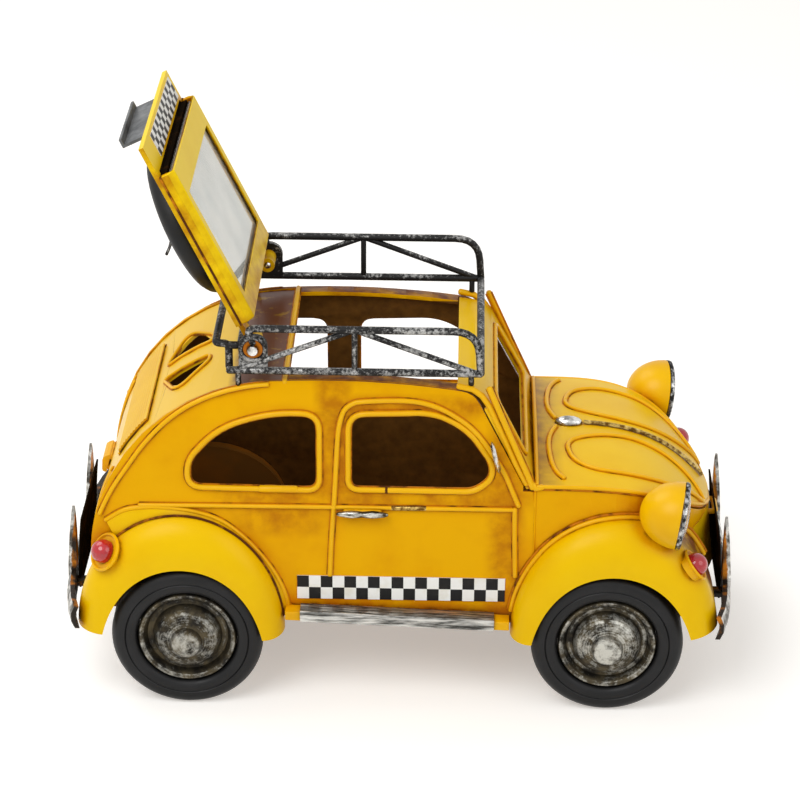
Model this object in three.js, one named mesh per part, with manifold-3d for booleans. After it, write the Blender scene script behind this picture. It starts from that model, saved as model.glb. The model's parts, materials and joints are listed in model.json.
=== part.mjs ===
// A hand-made tinplate model of a small rounded taxi saloon, made as a desk piece.
// The roof is open so that the cabin holds pens. A wire rack stands on the roof, and a lid with a
// photo frame in its underside swings on two pins at the rear of the rack.
// Millimetres, +X to the front of the car, +Y to its left, +Z up, ground at Z = 0.
import * as THREE from 'three';
import { mergeVertices } from 'three/addons/utils/BufferGeometryUtils.js';
import Module from 'manifold-3d';

const wasm = await Module();
wasm.setup();

// Sheet, wire and fits
const SHEET = 1.4;
const GAP = 0.3;
const RUNNING_GAP = 0.08;
const SEAM = 0.6;

// Wheels
const WHEELBASE = 138;
const TYRE_DIAMETER = 50;
const TYRE_WIDTH = 13;
const WIDTH_OVER_TYRES = 100;
const RIM_DIAMETER = 33;
const RIM_RECESS = 1.2;
const HUB_HEIGHT = 5.5;
const HUB_CAP_DIAMETER = 10;
const AXLE_DIAMETER = 4;
const WHEEL_SIDES = 22;
const AXLE_SIDES = 12;

// Body outline, side view
const BODY_WIDTH = 82;
const TUMBLEHOME = 3.5;
const BELT_HEIGHT = 71;
const ROOF_HEIGHT = 114.3;
const ROOF_RADIUS = 300;
const ROOF_CROWN_BEHIND_MIDDLE = 22;
const TAIL_RADIUS = 63;
const TAIL_OVERHANG = 31.5;
const TAIL_FOOT_HEIGHT = 46;
const SKIN_INSET = 0.7;
const FLOOR_ABOVE_AXLE = 5;
const FLOOR_END_MARGIN = 4.5;
const SKIN_ABOVE_FLOOR = 4;
const SILL_SLOPE = 4;
const ARCH_CLEARANCE = 3;
const ROOF_FLANGE = 4.5;

// Windscreen and roof opening
const COWL_SETBACK = 24.7;
const COWL_ABOVE_BELT = 8;
const WINDSCREEN_RAKE = THREE.MathUtils.degToRad(27.4);
const WINDSCREEN_RETURN = 3.2;
const WINDSCREEN_SIDE_MARGIN = 6.5;
const WINDSCREEN_TOP_MARGIN = 4.5;
const WINDSCREEN_SILL_MARGIN = 7.5;
const HEADER_DEPTH = 9.5;
const OPENING_AHEAD_OF_TAIL_CENTRE = 2;
const PILLAR_MIDDLE_X = -20.8;
const PILLAR_WIDTH = 10.6;

// Bonnet and nose
const NOSE_BEHIND_BUMPER = 7;
const NOSE_PLAN_POWER = 4;
const NOSE_PLAN_ROUNDING = 0.625;
const BONNET_DROP = 23;
const BONNET_DROP_POWER = 3.6;
const BONNET_CROWN = 2.5;
const BONNET_ABOVE_COWL = 0.4;

// Fenders
const FENDER_OVER_TYRE = 1;
const FENDER_BULGE = 9.7;
const FENDER_FOOT_HEIGHT = 25.5;
const FENDER_RISE = 16.3;
const FENDER_TYRE_CLEARANCE = 1.3;
const FENDER_LIP_REACH = -0.4;
const FENDER_LIP_FLARE = 1.8;
const FENDER_FACE = 9.65;
const FENDER_AHEAD = 2.4;
const FENDER_LIP_AHEAD = 1.5;
const FENDER_TIP_TURN = { front: 0.12, rear: 0.05 };
const FENDER_INNER_HALF = 26;

// Running boards
const BOARD_WIDTH = 5.2;
const BOARD_THICKNESS = 3.2;
const TREAD_WIDTH = 4.4;
const TREAD_THICKNESS = 0.8;
const TREAD_END_MARGIN = 5;

// Lamps
const HEADLAMP_DIAMETER = 22.6;
const HEADLAMP_LENGTH = 13;
const HEADLAMP_RIM_WIDTH = 2.2;
const HEADLAMP_ABOVE_FENDER = 4.4;
const HEADLAMP_NESTING = 0.7;
const HEADLAMP_AHEAD = 21.8;
const HEADLAMP_PITCH = THREE.MathUtils.degToRad(7);
const HEADLAMP_TOE = THREE.MathUtils.degToRad(6);
const LAMP_DIAMETER = 8;
const LAMP_BASE_DIAMETER = 10;
const LAMP_BASE_HEIGHT = 3;
const INDICATOR_INSET = 5.5;
const INDICATOR_AHEAD = 27.5;
const TAIL_LAMP_BEHIND = 26.2;

// Bumpers
const BUMPER_CLEARANCE = 5.35;
const BUMPER_SWEEP = 4.2;
const BUMPER_HEIGHT = 8;
const BUMPER_BELOW_FLOOR = 1.5;
const BUMPER_THICKNESS = 1.6;
const BUMPER_CROWN = 1.1;
const OVERRIDER_HALF_SPACING = 23;
const OVERRIDER_WIDTH = 6;
const OVERRIDER_TOP_HEIGHT = 59.5;
const BUMPER_IRON_WIDTH = 5;

// Small fittings
const HANDLE_LENGTH = 17;
const HANDLE_DIAMETER = 2.6;
const HANDLE_BELOW_BELT = 2;
const HANDLE_AHEAD_OF_PILLAR = 9.3;
const MIRROR_LENGTH = 12;
const MIRROR_WIDTH = 4.4;
const MIRROR_ABOVE_COWL = 11.5;
const ORNAMENT_LENGTH = 9.4;
const ORNAMENT_WIDTH = 5;
const ORNAMENT_HEIGHT = 2.2;
const ORNAMENT_BEHIND_AXLE = 13;
const SPINE_WIDTH = 1.4;
const SPINE_HEIGHT = 1;
const NOSE_HANDLE_WIDTH = 9;
const NOSE_HANDLE_DIAMETER = 2;
const NOSE_HANDLE_REACH = 2.4;

// Rear skin details
const REAR_WINDOW_SPLIT = 12;
const REAR_WINDOW_REACH = 22;
const REAR_WINDOW_LOW = THREE.MathUtils.degToRad(49.5);
const REAR_WINDOW_HIGH = THREE.MathUtils.degToRad(65.3);
const ENGINE_LID_WIDTH = 58;
const ENGINE_LID_LOW = THREE.MathUtils.degToRad(31);
const ENGINE_LID_HIGH = THREE.MathUtils.degToRad(45);
const ENGINE_LID_THICKNESS = 0.6;
const LOUVRE_COUNT = 11;
const LOUVRE_RISE = 0.4;
const PLATE_LAMP_ANGLE = THREE.MathUtils.degToRad(14.6);
const PLATE_LAMP_WIDTH = 11;
const PLATE_LAMP_HEIGHT = 7;
const PLATE_LAMP_DEPTH = 2.6;

// Roof rack
const RACK_OVER_ROOF = 0.5;
const RACK_WIRE = 2.5;
const BRACE_WIRE = 1.9;
const RACK_STANDOFF = 3.3;
const RACK_RISE = 14.6;
const RACK_BEHIND_WINDSCREEN = 2.1;
const RACK_BEHIND_TAIL_CENTRE = 16.7;
const RACK_FRONT_BEND = 8;
const RACK_REAR_BEND = 3;
const RACK_LOOP_REACH = 4.2;
const RACK_LOOP_RISE = 8;

// Lid, drawn closed: u runs forward from the hinge pin, outside of the lid up
const LID_OPEN = THREE.MathUtils.degToRad(116);
const HINGE_AHEAD_OF_RACK_END = 7.9;
const HINGE_RISE = 7.7;
const PIN_DIAMETER = 2.2;
const PIN_HEAD_DIAMETER = 4;
const PIN_HEAD_THICKNESS = 1.2;
const KNUCKLE_DIAMETER = 5;
const KNUCKLE_LENGTH = 8;
const LUG_THICKNESS = 1.5;
const STOP_U = 1.6;
const LID_SIDE_CLEARANCE = 0.75;
const LID_OVER_FRONT_BAR = 1.7;
const LID_PLATE_FOOT_U = 11.9;
const LID_FRAME_FOOT_U = 8;
const LID_TOP_PANEL = 11;
const LID_OUTER = 2;
const LID_CORE_DEPTH = 3.5;
const LID_BORDER = 6;
const LID_TOP_BORDER = 10;
const LID_FOOT_BORDER = 7.5;
const LID_WALL = 2.4;
const LID_CHAMFER = 2.2;
const LID_BORDER_THICKNESS = 0.9;
const CARD_THICKNESS = 0.6;
const WINDOW_THICKNESS = 0.5;
const LID_SHEET = 1.6;
const LID_SLOT_DEPTH = 6;
const SPARE_DIAMETER = 52;
const SPARE_WIDTH = 9.5;
const SPARE_MIDDLE_U = 35.5;
const SPARE_HUB_DIAMETER = 26;
const SIGN_WIDTH = 35;
const SIGN_HEIGHT = 9;
const SIGN_THICKNESS = 1;
const SIGN_LIP = 2.2;
const SIGN_BELOW_TOP = 2;

// Places that follow from the sizes
const FRONT_AXLE_X = WHEELBASE / 2;
const REAR_AXLE_X = -WHEELBASE / 2;
const AXLE_HEIGHT = TYRE_DIAMETER / 2;
const FLOOR_HEIGHT = AXLE_HEIGHT + FLOOR_ABOVE_AXLE;
const SILL_REAR_HEIGHT = FLOOR_HEIGHT + SILL_SLOPE / 2;
const SILL_FRONT_HEIGHT = FLOOR_HEIGHT - SILL_SLOPE / 2;
const SKIN_FOOT_HEIGHT = FLOOR_HEIGHT + SKIN_ABOVE_FLOOR;
const ARCH_RADIUS = TYRE_DIAMETER / 2 + ARCH_CLEARANCE;
const BODY_HALF = BODY_WIDTH / 2;
const ROOF_HALF = BODY_HALF - TUMBLEHOME;
const GLASS_HEIGHT = ROOF_HEIGHT - BELT_HEIGHT;
const PANEL_LEAN = Math.atan2(TUMBLEHOME, GLASS_HEIGHT);
const COWL_X = FRONT_AXLE_X - COWL_SETBACK;
const COWL_HEIGHT = BELT_HEIGHT + COWL_ABOVE_BELT;
const BONNET_EDGE_HEIGHT = COWL_HEIGHT + BONNET_ABOVE_COWL;
const FENDER_HALF = WIDTH_OVER_TYRES / 2 + FENDER_OVER_TYRE;
const FENDER_LIP_TOP_HEIGHT = TYRE_DIAMETER + FENDER_TYRE_CLEARANCE;
const FENDER_TOP_HEIGHT = FENDER_LIP_TOP_HEIGHT + FENDER_RISE;
const FENDER_LIP_HALF_LENGTH = TYRE_DIAMETER / 2 + FENDER_LIP_REACH;
const FENDER_HALF_LENGTH = FENDER_LIP_HALF_LENGTH + FENDER_FACE;
const BUMPER_X = FRONT_AXLE_X + FENDER_AHEAD + FENDER_HALF_LENGTH + BUMPER_CLEARANCE;
const BUMPER_HALF = FENDER_HALF - 1;
const BUMPER_FOOT_HEIGHT = FLOOR_HEIGHT - BUMPER_BELOW_FLOOR;
const IRON_FOOT_HEIGHT = FLOOR_HEIGHT + GAP;
const IRON_HALF_SPACING = FENDER_INNER_HALF - BUMPER_IRON_WIDTH / 2 - 2 * GAP;
const NOSE_X = BUMPER_X - NOSE_BEHIND_BUMPER;
const NOSE_HALF = BODY_HALF - GAP;
const NOSE_FOOT_HEIGHT = IRON_FOOT_HEIGHT + SHEET + GAP;
const ROOF_CENTRE = new THREE.Vector2(-ROOF_CROWN_BEHIND_MIDDLE, ROOF_HEIGHT - ROOF_RADIUS);
const TAIL_CENTRE_X = REAR_AXLE_X - TAIL_OVERHANG + TAIL_RADIUS;
const TAIL_JOIN = Math.asin((ROOF_CENTRE.x - TAIL_CENTRE_X) / (ROOF_RADIUS - TAIL_RADIUS));
const TAIL_CENTRE = new THREE.Vector2(
  TAIL_CENTRE_X,
  ROOF_CENTRE.y + (ROOF_RADIUS - TAIL_RADIUS) * Math.cos(TAIL_JOIN),
);
const OPENING_REAR_X = TAIL_CENTRE_X + OPENING_AHEAD_OF_TAIL_CENTRE;
const RACK_HALF = ROOF_HALF + RACK_OVER_ROOF;
const RACK_INNER_HALF = RACK_HALF - RACK_WIRE / 2;
const RACK_LOWER_HEIGHT = ROOF_HEIGHT + RACK_STANDOFF;
const RACK_UPPER_HEIGHT = RACK_LOWER_HEIGHT + RACK_RISE;
const RACK_LOOP_HEIGHT = RACK_LOWER_HEIGHT + RACK_LOOP_RISE;
const RACK_FRONT_X = windscreenTop(0).x - RACK_BEHIND_WINDSCREEN;
const RACK_REAR_X = TAIL_CENTRE_X - RACK_BEHIND_TAIL_CENTRE;
const RACK_STRUT_X = (RACK_FRONT_X + RACK_REAR_X) / 2;
const HINGE_X = RACK_REAR_X + HINGE_AHEAD_OF_RACK_END;
const HINGE_HEIGHT = RACK_LOWER_HEIGHT + HINGE_RISE;
const KNUCKLE_OUTER = RACK_INNER_HALF - GAP;
const LID_HALF = RACK_INNER_HALF - LID_SIDE_CLEARANCE;
const LID_TOP_U = RACK_FRONT_X - HINGE_X + LID_OVER_FRONT_BAR;
const LID_SLOT_U = LID_TOP_U - LID_TOP_PANEL;
const CARD_TOP = LID_OUTER - LID_CORE_DEPTH - GAP;
const WINDOW_TOP = CARD_TOP - CARD_THICKNESS - GAP;
const LID_INNER = WINDOW_TOP - WINDOW_THICKNESS - GAP - LID_BORDER_THICKNESS;

// Outside of the body at a height: upright below the belt, leaning in above it
function bodyHalfAt(height) {
  return BODY_HALF - Math.max(0, height - BELT_HEIGHT) * Math.tan(PANEL_LEAN);
}

// Plan of the nose: half width at a place along the car
function noseHalfAt(x) {
  const along = THREE.MathUtils.clamp((x - COWL_X) / (NOSE_X - COWL_X), 0, 1);
  return NOSE_HALF * Math.pow(1 - Math.pow(along, NOSE_PLAN_POWER), NOSE_PLAN_ROUNDING);
}

// Height of the bonnet's edge along the car
function bonnetEdgeAt(x) {
  const along = THREE.MathUtils.clamp((x - COWL_X) / (NOSE_X - COWL_X), 0, 1);
  return BONNET_EDGE_HEIGHT - BONNET_DROP * Math.pow(along, BONNET_DROP_POWER);
}

// Point of the tail arc, by the angle above the rear horizontal
function tailPoint(angle, inset) {
  const radius = TAIL_RADIUS - inset;
  return new THREE.Vector2(
    TAIL_CENTRE.x - radius * Math.cos(angle),
    TAIL_CENTRE.y + radius * Math.sin(angle),
  );
}

function roofHeightAt(x, inset) {
  const across = x - ROOF_CENTRE.x;
  return ROOF_CENTRE.y + Math.sqrt((ROOF_RADIUS - inset) ** 2 - across ** 2);
}

// Where the windscreen's plane, moved back by a distance, meets the roof arc
function windscreenTop(back) {
  const foot = new THREE.Vector2(COWL_X - back / Math.cos(WINDSCREEN_RAKE), COWL_HEIGHT);
  const up = new THREE.Vector2(-Math.sin(WINDSCREEN_RAKE), Math.cos(WINDSCREEN_RAKE));
  const from = foot.clone().sub(ROOF_CENTRE);
  const half = from.dot(up);
  const reach = -half + Math.sqrt(half ** 2 - from.lengthSq() + ROOF_RADIUS ** 2);
  return foot.addScaledVector(up, reach);
}

// Solids and meshes

function toSolid(geometry) {
  const bare = geometry.index ? geometry.clone() : geometry;
  bare.deleteAttribute('normal');
  bare.deleteAttribute('uv');
  const merged = mergeVertices(bare, 1e-4);
  return new wasm.Manifold(new wasm.Mesh({
    numProp: 3,
    vertProperties: new Float32Array(merged.attributes.position.array),
    triVerts: new Uint32Array(merged.index.array),
  }));
}

function toGeometry(solid) {
  const mesh = solid.getMesh();
  const geometry = new THREE.BufferGeometry();
  geometry.setAttribute('position', new THREE.BufferAttribute(new Float32Array(mesh.vertProperties), 3));
  geometry.setIndex(new THREE.BufferAttribute(new Uint32Array(mesh.triVerts), 1));
  return geometry;
}

function join(geometries) {
  return toGeometry(geometries.map(toSolid).reduce((sum, next) => sum.add(next)));
}

function cut(geometry, tools) {
  return toGeometry(tools.map(toSolid).reduce((rest, tool) => rest.subtract(tool), toSolid(geometry)));
}

// Six times the signed volume tells whether the faces point out
function facingOut(geometry) {
  const index = geometry.index.array;
  const corner = (i) => new THREE.Vector3().fromBufferAttribute(geometry.attributes.position, index[i]);
  let volume = 0;
  for (let i = 0; i < index.length; i += 3) {
    volume += corner(i).dot(corner(i + 1).cross(corner(i + 2)));
  }
  if (volume < 0) {
    for (let i = 0; i < index.length; i += 3) {
      [index[i], index[i + 1]] = [index[i + 1], index[i]];
    }
  }
  return geometry;
}

// Skin over closed section loops with an even count of points, capped at both ends
function loft(rings) {
  const count = rings[0].length;
  const index = [];
  const quad = (a, b, c, d) => index.push(a, b, c, a, c, d);
  for (let i = 0; i < rings.length - 1; i += 1) {
    for (let k = 0; k < count; k += 1) {
      const next = (k + 1) % count;
      quad(i * count + k, i * count + next, (i + 1) * count + next, (i + 1) * count + k);
    }
  }
  const last = (rings.length - 1) * count;
  for (let k = 0; k < count / 2 - 1; k += 1) {
    quad(count - 1 - k, count - 2 - k, k + 1, k);
    quad(last + k, last + k + 1, last + count - 2 - k, last + count - 1 - k);
  }
  const geometry = new THREE.BufferGeometry();
  const positions = rings.flat().flatMap((point) => [point.x, point.y, point.z]);
  geometry.setAttribute('position', new THREE.Float32BufferAttribute(positions, 3));
  geometry.setIndex(index);
  return facingOut(geometry);
}

function mirrored(geometry) {
  const copy = geometry.clone();
  copy.scale(1, -1, 1);
  return facingOut(copy.index ? copy : mergeVertices(copy));
}

// The car's right side is -Y; pieces are drawn for the right and mirrored for the left
function onSide(side, rightGeometry) {
  return side === 'left' ? mirrored(rightGeometry) : rightGeometry;
}

// Extrude an outline drawn in X and Z across the car, from the lower y to the upper y
function acrossCar(shape, yLow, yHigh, curveSegments = 4) {
  const depth = yHigh - yLow;
  const geometry = new THREE.ExtrudeGeometry(shape, { depth, bevelEnabled: false, curveSegments });
  geometry.rotateX(Math.PI / 2);
  geometry.translate(0, yHigh, 0);
  return geometry;
}

// Polygon with rounded corners: each corner is [x, y, radius]
function roundedOutline(corners) {
  const shape = new THREE.Shape();
  corners.forEach(([x, y, radius], i) => {
    const corner = new THREE.Vector2(x, y);
    const before = new THREE.Vector2(...corners[(i + corners.length - 1) % corners.length]);
    const after = new THREE.Vector2(...corners[(i + 1) % corners.length]);
    const start = corner.clone().add(before.sub(corner).setLength(radius));
    const end = corner.clone().add(after.sub(corner).setLength(radius));
    if (i === 0) {
      shape.moveTo(start.x, start.y);
    } else {
      shape.lineTo(start.x, start.y);
    }
    shape.quadraticCurveTo(x, y, end.x, end.y);
  });
  shape.closePath();
  return shape;
}

// Wire along straight runs with rounded bends, rings only where the path turns
class WirePath extends THREE.Curve {
  constructor(points, bend, bendSteps = 3) {
    super();
    this.stops = [points[0]];
    for (let i = 1; i < points.length - 1; i += 1) {
      const reach = Array.isArray(bend) ? bend[i - 1] : bend;
      const before = points[i].clone().add(points[i - 1].clone().sub(points[i]).setLength(reach));
      const after = points[i].clone().add(points[i + 1].clone().sub(points[i]).setLength(reach));
      const turn = new THREE.QuadraticBezierCurve3(before, points[i], after);
      this.stops.push(...turn.getPoints(bendSteps));
    }
    this.stops.push(points[points.length - 1]);
  }

  get steps() {
    return this.stops.length - 1;
  }

  getPoint(t) {
    return this.stops[Math.round(t * this.steps)].clone();
  }

  getPointAt(t) {
    return this.getPoint(t);
  }

  getTangentAt(t) {
    const at = Math.round(t * this.steps);
    const before = this.stops[Math.max(at - 1, 0)];
    const after = this.stops[Math.min(at + 1, this.steps)];
    return after.clone().sub(before).normalize();
  }
}

function wire(points, diameter, bend = 0.1, sides = 6) {
  const section = new THREE.Shape();
  for (let i = 0; i < sides; i += 1) {
    const angle = ((i + 0.5) / sides) * Math.PI * 2;
    const x = (diameter / 2) * Math.cos(angle);
    const y = (diameter / 2) * Math.sin(angle);
    if (i === 0) {
      section.moveTo(x, y);
    } else {
      section.lineTo(x, y);
    }
  }
  section.closePath();
  const path = new WirePath(points, bend);
  return new THREE.ExtrudeGeometry(section, { steps: path.steps, extrudePath: path, bevelEnabled: false });
}

// Round piece about the car's Y axis, with a flat of the polygon at the bottom
function turned(profile, sides) {
  const points = profile.map(([radius, along]) => new THREE.Vector2(radius, along));
  const merged = mergeVertices(stripped(new THREE.LatheGeometry(points, sides, Math.PI / sides)), 1e-4);
  const kept = [];
  for (let i = 0; i < merged.index.count; i += 3) {
    const [a, b, c] = [0, 1, 2].map((k) => merged.index.getX(i + k));
    if (a !== b && b !== c && c !== a) {
      kept.push(a, b, c);
    }
  }
  merged.setIndex(kept);
  return facingOut(merged);
}

function stripped(geometry) {
  geometry.deleteAttribute('normal');
  geometry.deleteAttribute('uv');
  return geometry;
}

const car = new THREE.Group();

function finish(color, roughness, metalness) {
  return () => new THREE.MeshStandardMaterial({ color, roughness, metalness });
}

const yellow = finish(0xe6ad0f, 0.45, 0.1);
const blackWire = finish(0x2a2b2c, 0.5, 0.7);
const silver = finish(0xb9bab8, 0.35, 0.9);
const agedSilver = finish(0x77756c, 0.45, 0.85);
const rubber = finish(0x1b1b1d, 0.85, 0);
const redLens = finish(0xb5262a, 0.25, 0);
const clear = finish(0xdfe6ea, 0.05, 0);
const paper = finish(0xe9e4d8, 0.8, 0);
const darkBoard = finish(0x2f3233, 0.6, 0.3);

function add(name, geometry, material, parent = car) {
  const mesh = new THREE.Mesh(geometry, material());
  mesh.name = name;
  parent.add(mesh);
  return mesh;
}

const SIDES = ['right', 'left'];
const ENDS = ['front', 'rear'];

// Side panels: an upright lower plate and a leaning upper plate with the windows

function sideWindows() {
  const at = (share) => BELT_HEIGHT + GLASS_HEIGHT * share;
  const behindPillar = PILLAR_MIDDLE_X - PILLAR_WIDTH / 2;
  const aheadOfPillar = PILLAR_MIDDLE_X + PILLAR_WIDTH / 2;
  const quarter = roundedOutline([
    [TAIL_CENTRE.x - 30, at(0.15), 4],
    [behindPillar, at(0.14), 3.5],
    [behindPillar, at(0.72), 5],
    [TAIL_CENTRE.x - 2.5, at(0.73), 8],
    [TAIL_CENTRE.x - 20, at(0.605), 8],
    [TAIL_CENTRE.x - 30, at(0.345), 4],
  ]);
  const door = roundedOutline([
    [aheadOfPillar, at(0.15), 3],
    [COWL_X - 19.8, at(0.148), 3],
    [COWL_X - 14.7, at(0.245), 2.6],
    [COWL_X - 14.7, at(0.36), 2.4],
    [COWL_X - 21.7, at(0.6), 5],
    [COWL_X - 32.3, at(0.746), 6],
    [aheadOfPillar, at(0.725), 5],
  ]);
  return [quarter, door];
}

function upperPanelOutline() {
  const beltAngle = Math.asin((BELT_HEIGHT - TAIL_CENTRE.y) / TAIL_RADIUS);
  const corner = windscreenTop(WINDSCREEN_RETURN + GAP);
  const cornerAngle = Math.atan2(corner.y - ROOF_CENTRE.y, corner.x - ROOF_CENTRE.x);
  const shape = new THREE.Shape();
  const foot = tailPoint(beltAngle, 0);
  shape.moveTo(foot.x, foot.y);
  shape.absarc(TAIL_CENTRE.x, TAIL_CENTRE.y, TAIL_RADIUS, Math.PI - beltAngle, Math.PI / 2 + TAIL_JOIN, true);
  const cornerCut = 4;
  const roofEnd = cornerAngle + cornerCut / ROOF_RADIUS;
  shape.absarc(ROOF_CENTRE.x, ROOF_CENTRE.y, ROOF_RADIUS, Math.PI / 2 + TAIL_JOIN, roofEnd, true);
  const back = (WINDSCREEN_RETURN + GAP) / Math.cos(WINDSCREEN_RAKE);
  const pillarFoot = new THREE.Vector2(COWL_X - back, COWL_HEIGHT);
  const below = corner.clone().add(pillarFoot.clone().sub(corner).setLength(cornerCut));
  shape.quadraticCurveTo(corner.x, corner.y, below.x, below.y);
  shape.lineTo(pillarFoot.x, pillarFoot.y);
  const stepHeight = COWL_HEIGHT - SHEET - 2 * GAP;
  shape.lineTo(pillarFoot.x, stepHeight);
  shape.lineTo(COWL_X - GAP, stepHeight);
  shape.lineTo(COWL_X - GAP, BELT_HEIGHT);
  shape.closePath();
  return shape;
}

function lowerPanelOutline() {
  const beltAngle = Math.asin((BELT_HEIGHT - TAIL_CENTRE.y) / TAIL_RADIUS);
  const footAngle = Math.asin((TAIL_FOOT_HEIGHT - TAIL_CENTRE.y) / TAIL_RADIUS);
  const foot = tailPoint(footAngle, 0);
  const shape = new THREE.Shape();
  shape.moveTo(foot.x, foot.y);
  shape.absarc(TAIL_CENTRE.x, TAIL_CENTRE.y, TAIL_RADIUS, Math.PI - footAngle, Math.PI - beltAngle, true);
  shape.lineTo(COWL_X - GAP, BELT_HEIGHT);
  shape.lineTo(COWL_X - GAP, SILL_FRONT_HEIGHT);
  shape.lineTo(REAR_AXLE_X, SILL_REAR_HEIGHT);
  shape.lineTo(REAR_AXLE_X, TAIL_FOOT_HEIGHT);
  shape.closePath();
  return shape;
}

function archTool(axleX, yLow, yHigh) {
  const disc = new THREE.CylinderGeometry(ARCH_RADIUS, ARCH_RADIUS, yHigh - yLow, 32);
  disc.translate(axleX, (yLow + yHigh) / 2, AXLE_HEIGHT);
  return disc;
}

// Turned-in flange along the roof opening
function roofFlange() {
  const rings = [];
  const front = windscreenTop(0).x - HEADER_DEPTH - GAP;
  const rear = OPENING_REAR_X + GAP;
  const steps = 6;
  for (let i = 0; i <= steps; i += 1) {
    const x = THREE.MathUtils.lerp(rear, front, i / steps);
    const top = roofHeightAt(x, 0);
    const outer = bodyHalfAt(top) - SHEET / 2;
    rings.push([
      new THREE.Vector3(x, -outer, top),
      new THREE.Vector3(x, -outer + ROOF_FLANGE, top),
      new THREE.Vector3(x, -outer + ROOF_FLANGE, top - SHEET),
      new THREE.Vector3(x, -outer, top - SHEET),
    ]);
  }
  return loft(rings);
}

function sidePanel() {
  const lower = acrossCar(lowerPanelOutline(), -BODY_HALF, -BODY_HALF + SHEET);
  const upperOutline = upperPanelOutline();
  upperOutline.holes.push(...sideWindows());
  const upper = acrossCar(upperOutline, -BODY_HALF, -BODY_HALF + SHEET);
  upper.translate(0, BODY_HALF, -BELT_HEIGHT);
  upper.rotateX(-PANEL_LEAN);
  upper.translate(0, -BODY_HALF, BELT_HEIGHT);
  const beltAngle = Math.asin((BELT_HEIGHT - TAIL_CENTRE.y) / TAIL_RADIUS);
  const middle = -BODY_HALF + SHEET / 2;
  const foldFill = wire([
    new THREE.Vector3(tailPoint(beltAngle, 0).x, middle, BELT_HEIGHT),
    new THREE.Vector3(COWL_X - GAP, middle, BELT_HEIGHT),
  ], SHEET);
  const panel = join([lower, upper, foldFill, roofFlange()]);
  return cut(panel, [
    archTool(REAR_AXLE_X, -BODY_HALF - 1, -BODY_HALF + SHEET + 1),
    archTool(FRONT_AXLE_X, -BODY_HALF - 1, -BODY_HALF + SHEET + 1),
  ]);
}

// Rear skin: one bent strip from below the tail to the roof opening, set between the side panels

function skinRing(outer, inward, height) {
  const half = bodyHalfAt(height) - SHEET / Math.cos(PANEL_LEAN) - GAP;
  const inner = outer.clone().addScaledVector(inward, SHEET);
  return [
    new THREE.Vector3(outer.x, -half, outer.y),
    new THREE.Vector3(outer.x, half, outer.y),
    new THREE.Vector3(inner.x, half, inner.y),
    new THREE.Vector3(inner.x, -half, inner.y),
  ];
}

function rearSkin() {
  const rings = [];
  const footAngle = Math.asin((SKIN_FOOT_HEIGHT - TAIL_CENTRE.y) / TAIL_RADIUS);
  const joinAngle = Math.PI / 2 - TAIL_JOIN;
  const tailSteps = 16;
  for (let i = 0; i <= tailSteps; i += 1) {
    const angle = THREE.MathUtils.lerp(footAngle, joinAngle, i / tailSteps);
    const outer = tailPoint(angle, SKIN_INSET);
    const inward = TAIL_CENTRE.clone().sub(outer).normalize();
    rings.push(skinRing(outer, inward, outer.y));
  }
  const roofEnd = new THREE.Vector2(OPENING_REAR_X, roofHeightAt(OPENING_REAR_X, SKIN_INSET));
  rings.push(skinRing(roofEnd, new THREE.Vector2(0, -1), roofEnd.y));
  return cut(loft(rings), SIDES.map(rearWindowTool));
}

// Half of the split rear window: straight along the split, bowed on the outside
function rearWindowTool(side) {
  const middle = (REAR_WINDOW_LOW + REAR_WINDOW_HIGH) / 2;
  const tall = TAIL_RADIUS * (REAR_WINDOW_HIGH - REAR_WINDOW_LOW);
  const inner = REAR_WINDOW_SPLIT / 2;
  const outline = roundedOutline([
    [inner, -tall / 2, 1.5],
    [REAR_WINDOW_REACH, -tall / 10, 6],
    [inner + 4, tall / 2, 2],
    [inner, tall / 2, 1.5],
  ]);
  const tool = new THREE.ExtrudeGeometry(outline, { depth: 12, bevelEnabled: false, curveSegments: 4 });
  tool.translate(0, 0, -6);
  tool.rotateZ(Math.PI / 2);
  tool.rotateY(middle - Math.PI / 2);
  const centre = tailPoint(middle, SKIN_INSET);
  tool.translate(centre.x, 0, centre.y);
  return onSide(side, facingOut(mergeVertices(stripped(tool))));
}

// Engine lid: a raised louvred panel on the rear skin
function engineLid() {
  const rings = [];
  const steps = LOUVRE_COUNT * 2;
  for (let i = 0; i <= steps; i += 1) {
    const angle = THREE.MathUtils.lerp(ENGINE_LID_LOW, ENGINE_LID_HIGH, i / steps);
    const rise = i % 2 === 0 ? 0 : LOUVRE_RISE;
    const outer = tailPoint(angle, SKIN_INSET - GAP - ENGINE_LID_THICKNESS - rise);
    const inner = tailPoint(angle, SKIN_INSET - GAP);
    const half = ENGINE_LID_WIDTH / 2;
    rings.push([
      new THREE.Vector3(outer.x, -half, outer.y),
      new THREE.Vector3(outer.x, half, outer.y),
      new THREE.Vector3(inner.x, half, inner.y),
      new THREE.Vector3(inner.x, -half, inner.y),
    ]);
  }
  return loft(rings);
}

// Plate lamp: a hooded box on the rear skin, below the engine lid
function plateLamp() {
  const outline = roundedOutline([
    [0, -PLATE_LAMP_HEIGHT / 2, 0.5],
    [PLATE_LAMP_DEPTH * 0.6, -PLATE_LAMP_HEIGHT / 2, 0.8],
    [PLATE_LAMP_DEPTH, PLATE_LAMP_HEIGHT / 4, 1.2],
    [0, PLATE_LAMP_HEIGHT / 2, 0.8],
  ]);
  const lamp = acrossCar(outline, -PLATE_LAMP_WIDTH / 2, PLATE_LAMP_WIDTH / 2, 2);
  lamp.rotateZ(Math.PI);
  lamp.rotateY(PLATE_LAMP_ANGLE);
  const place = tailPoint(PLATE_LAMP_ANGLE, SKIN_INSET - 2 * GAP);
  return toIndexed(lamp.translate(place.x, 0, place.y));
}

// Windscreen frame: roof header, leaning front with its opening, and side returns

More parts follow.
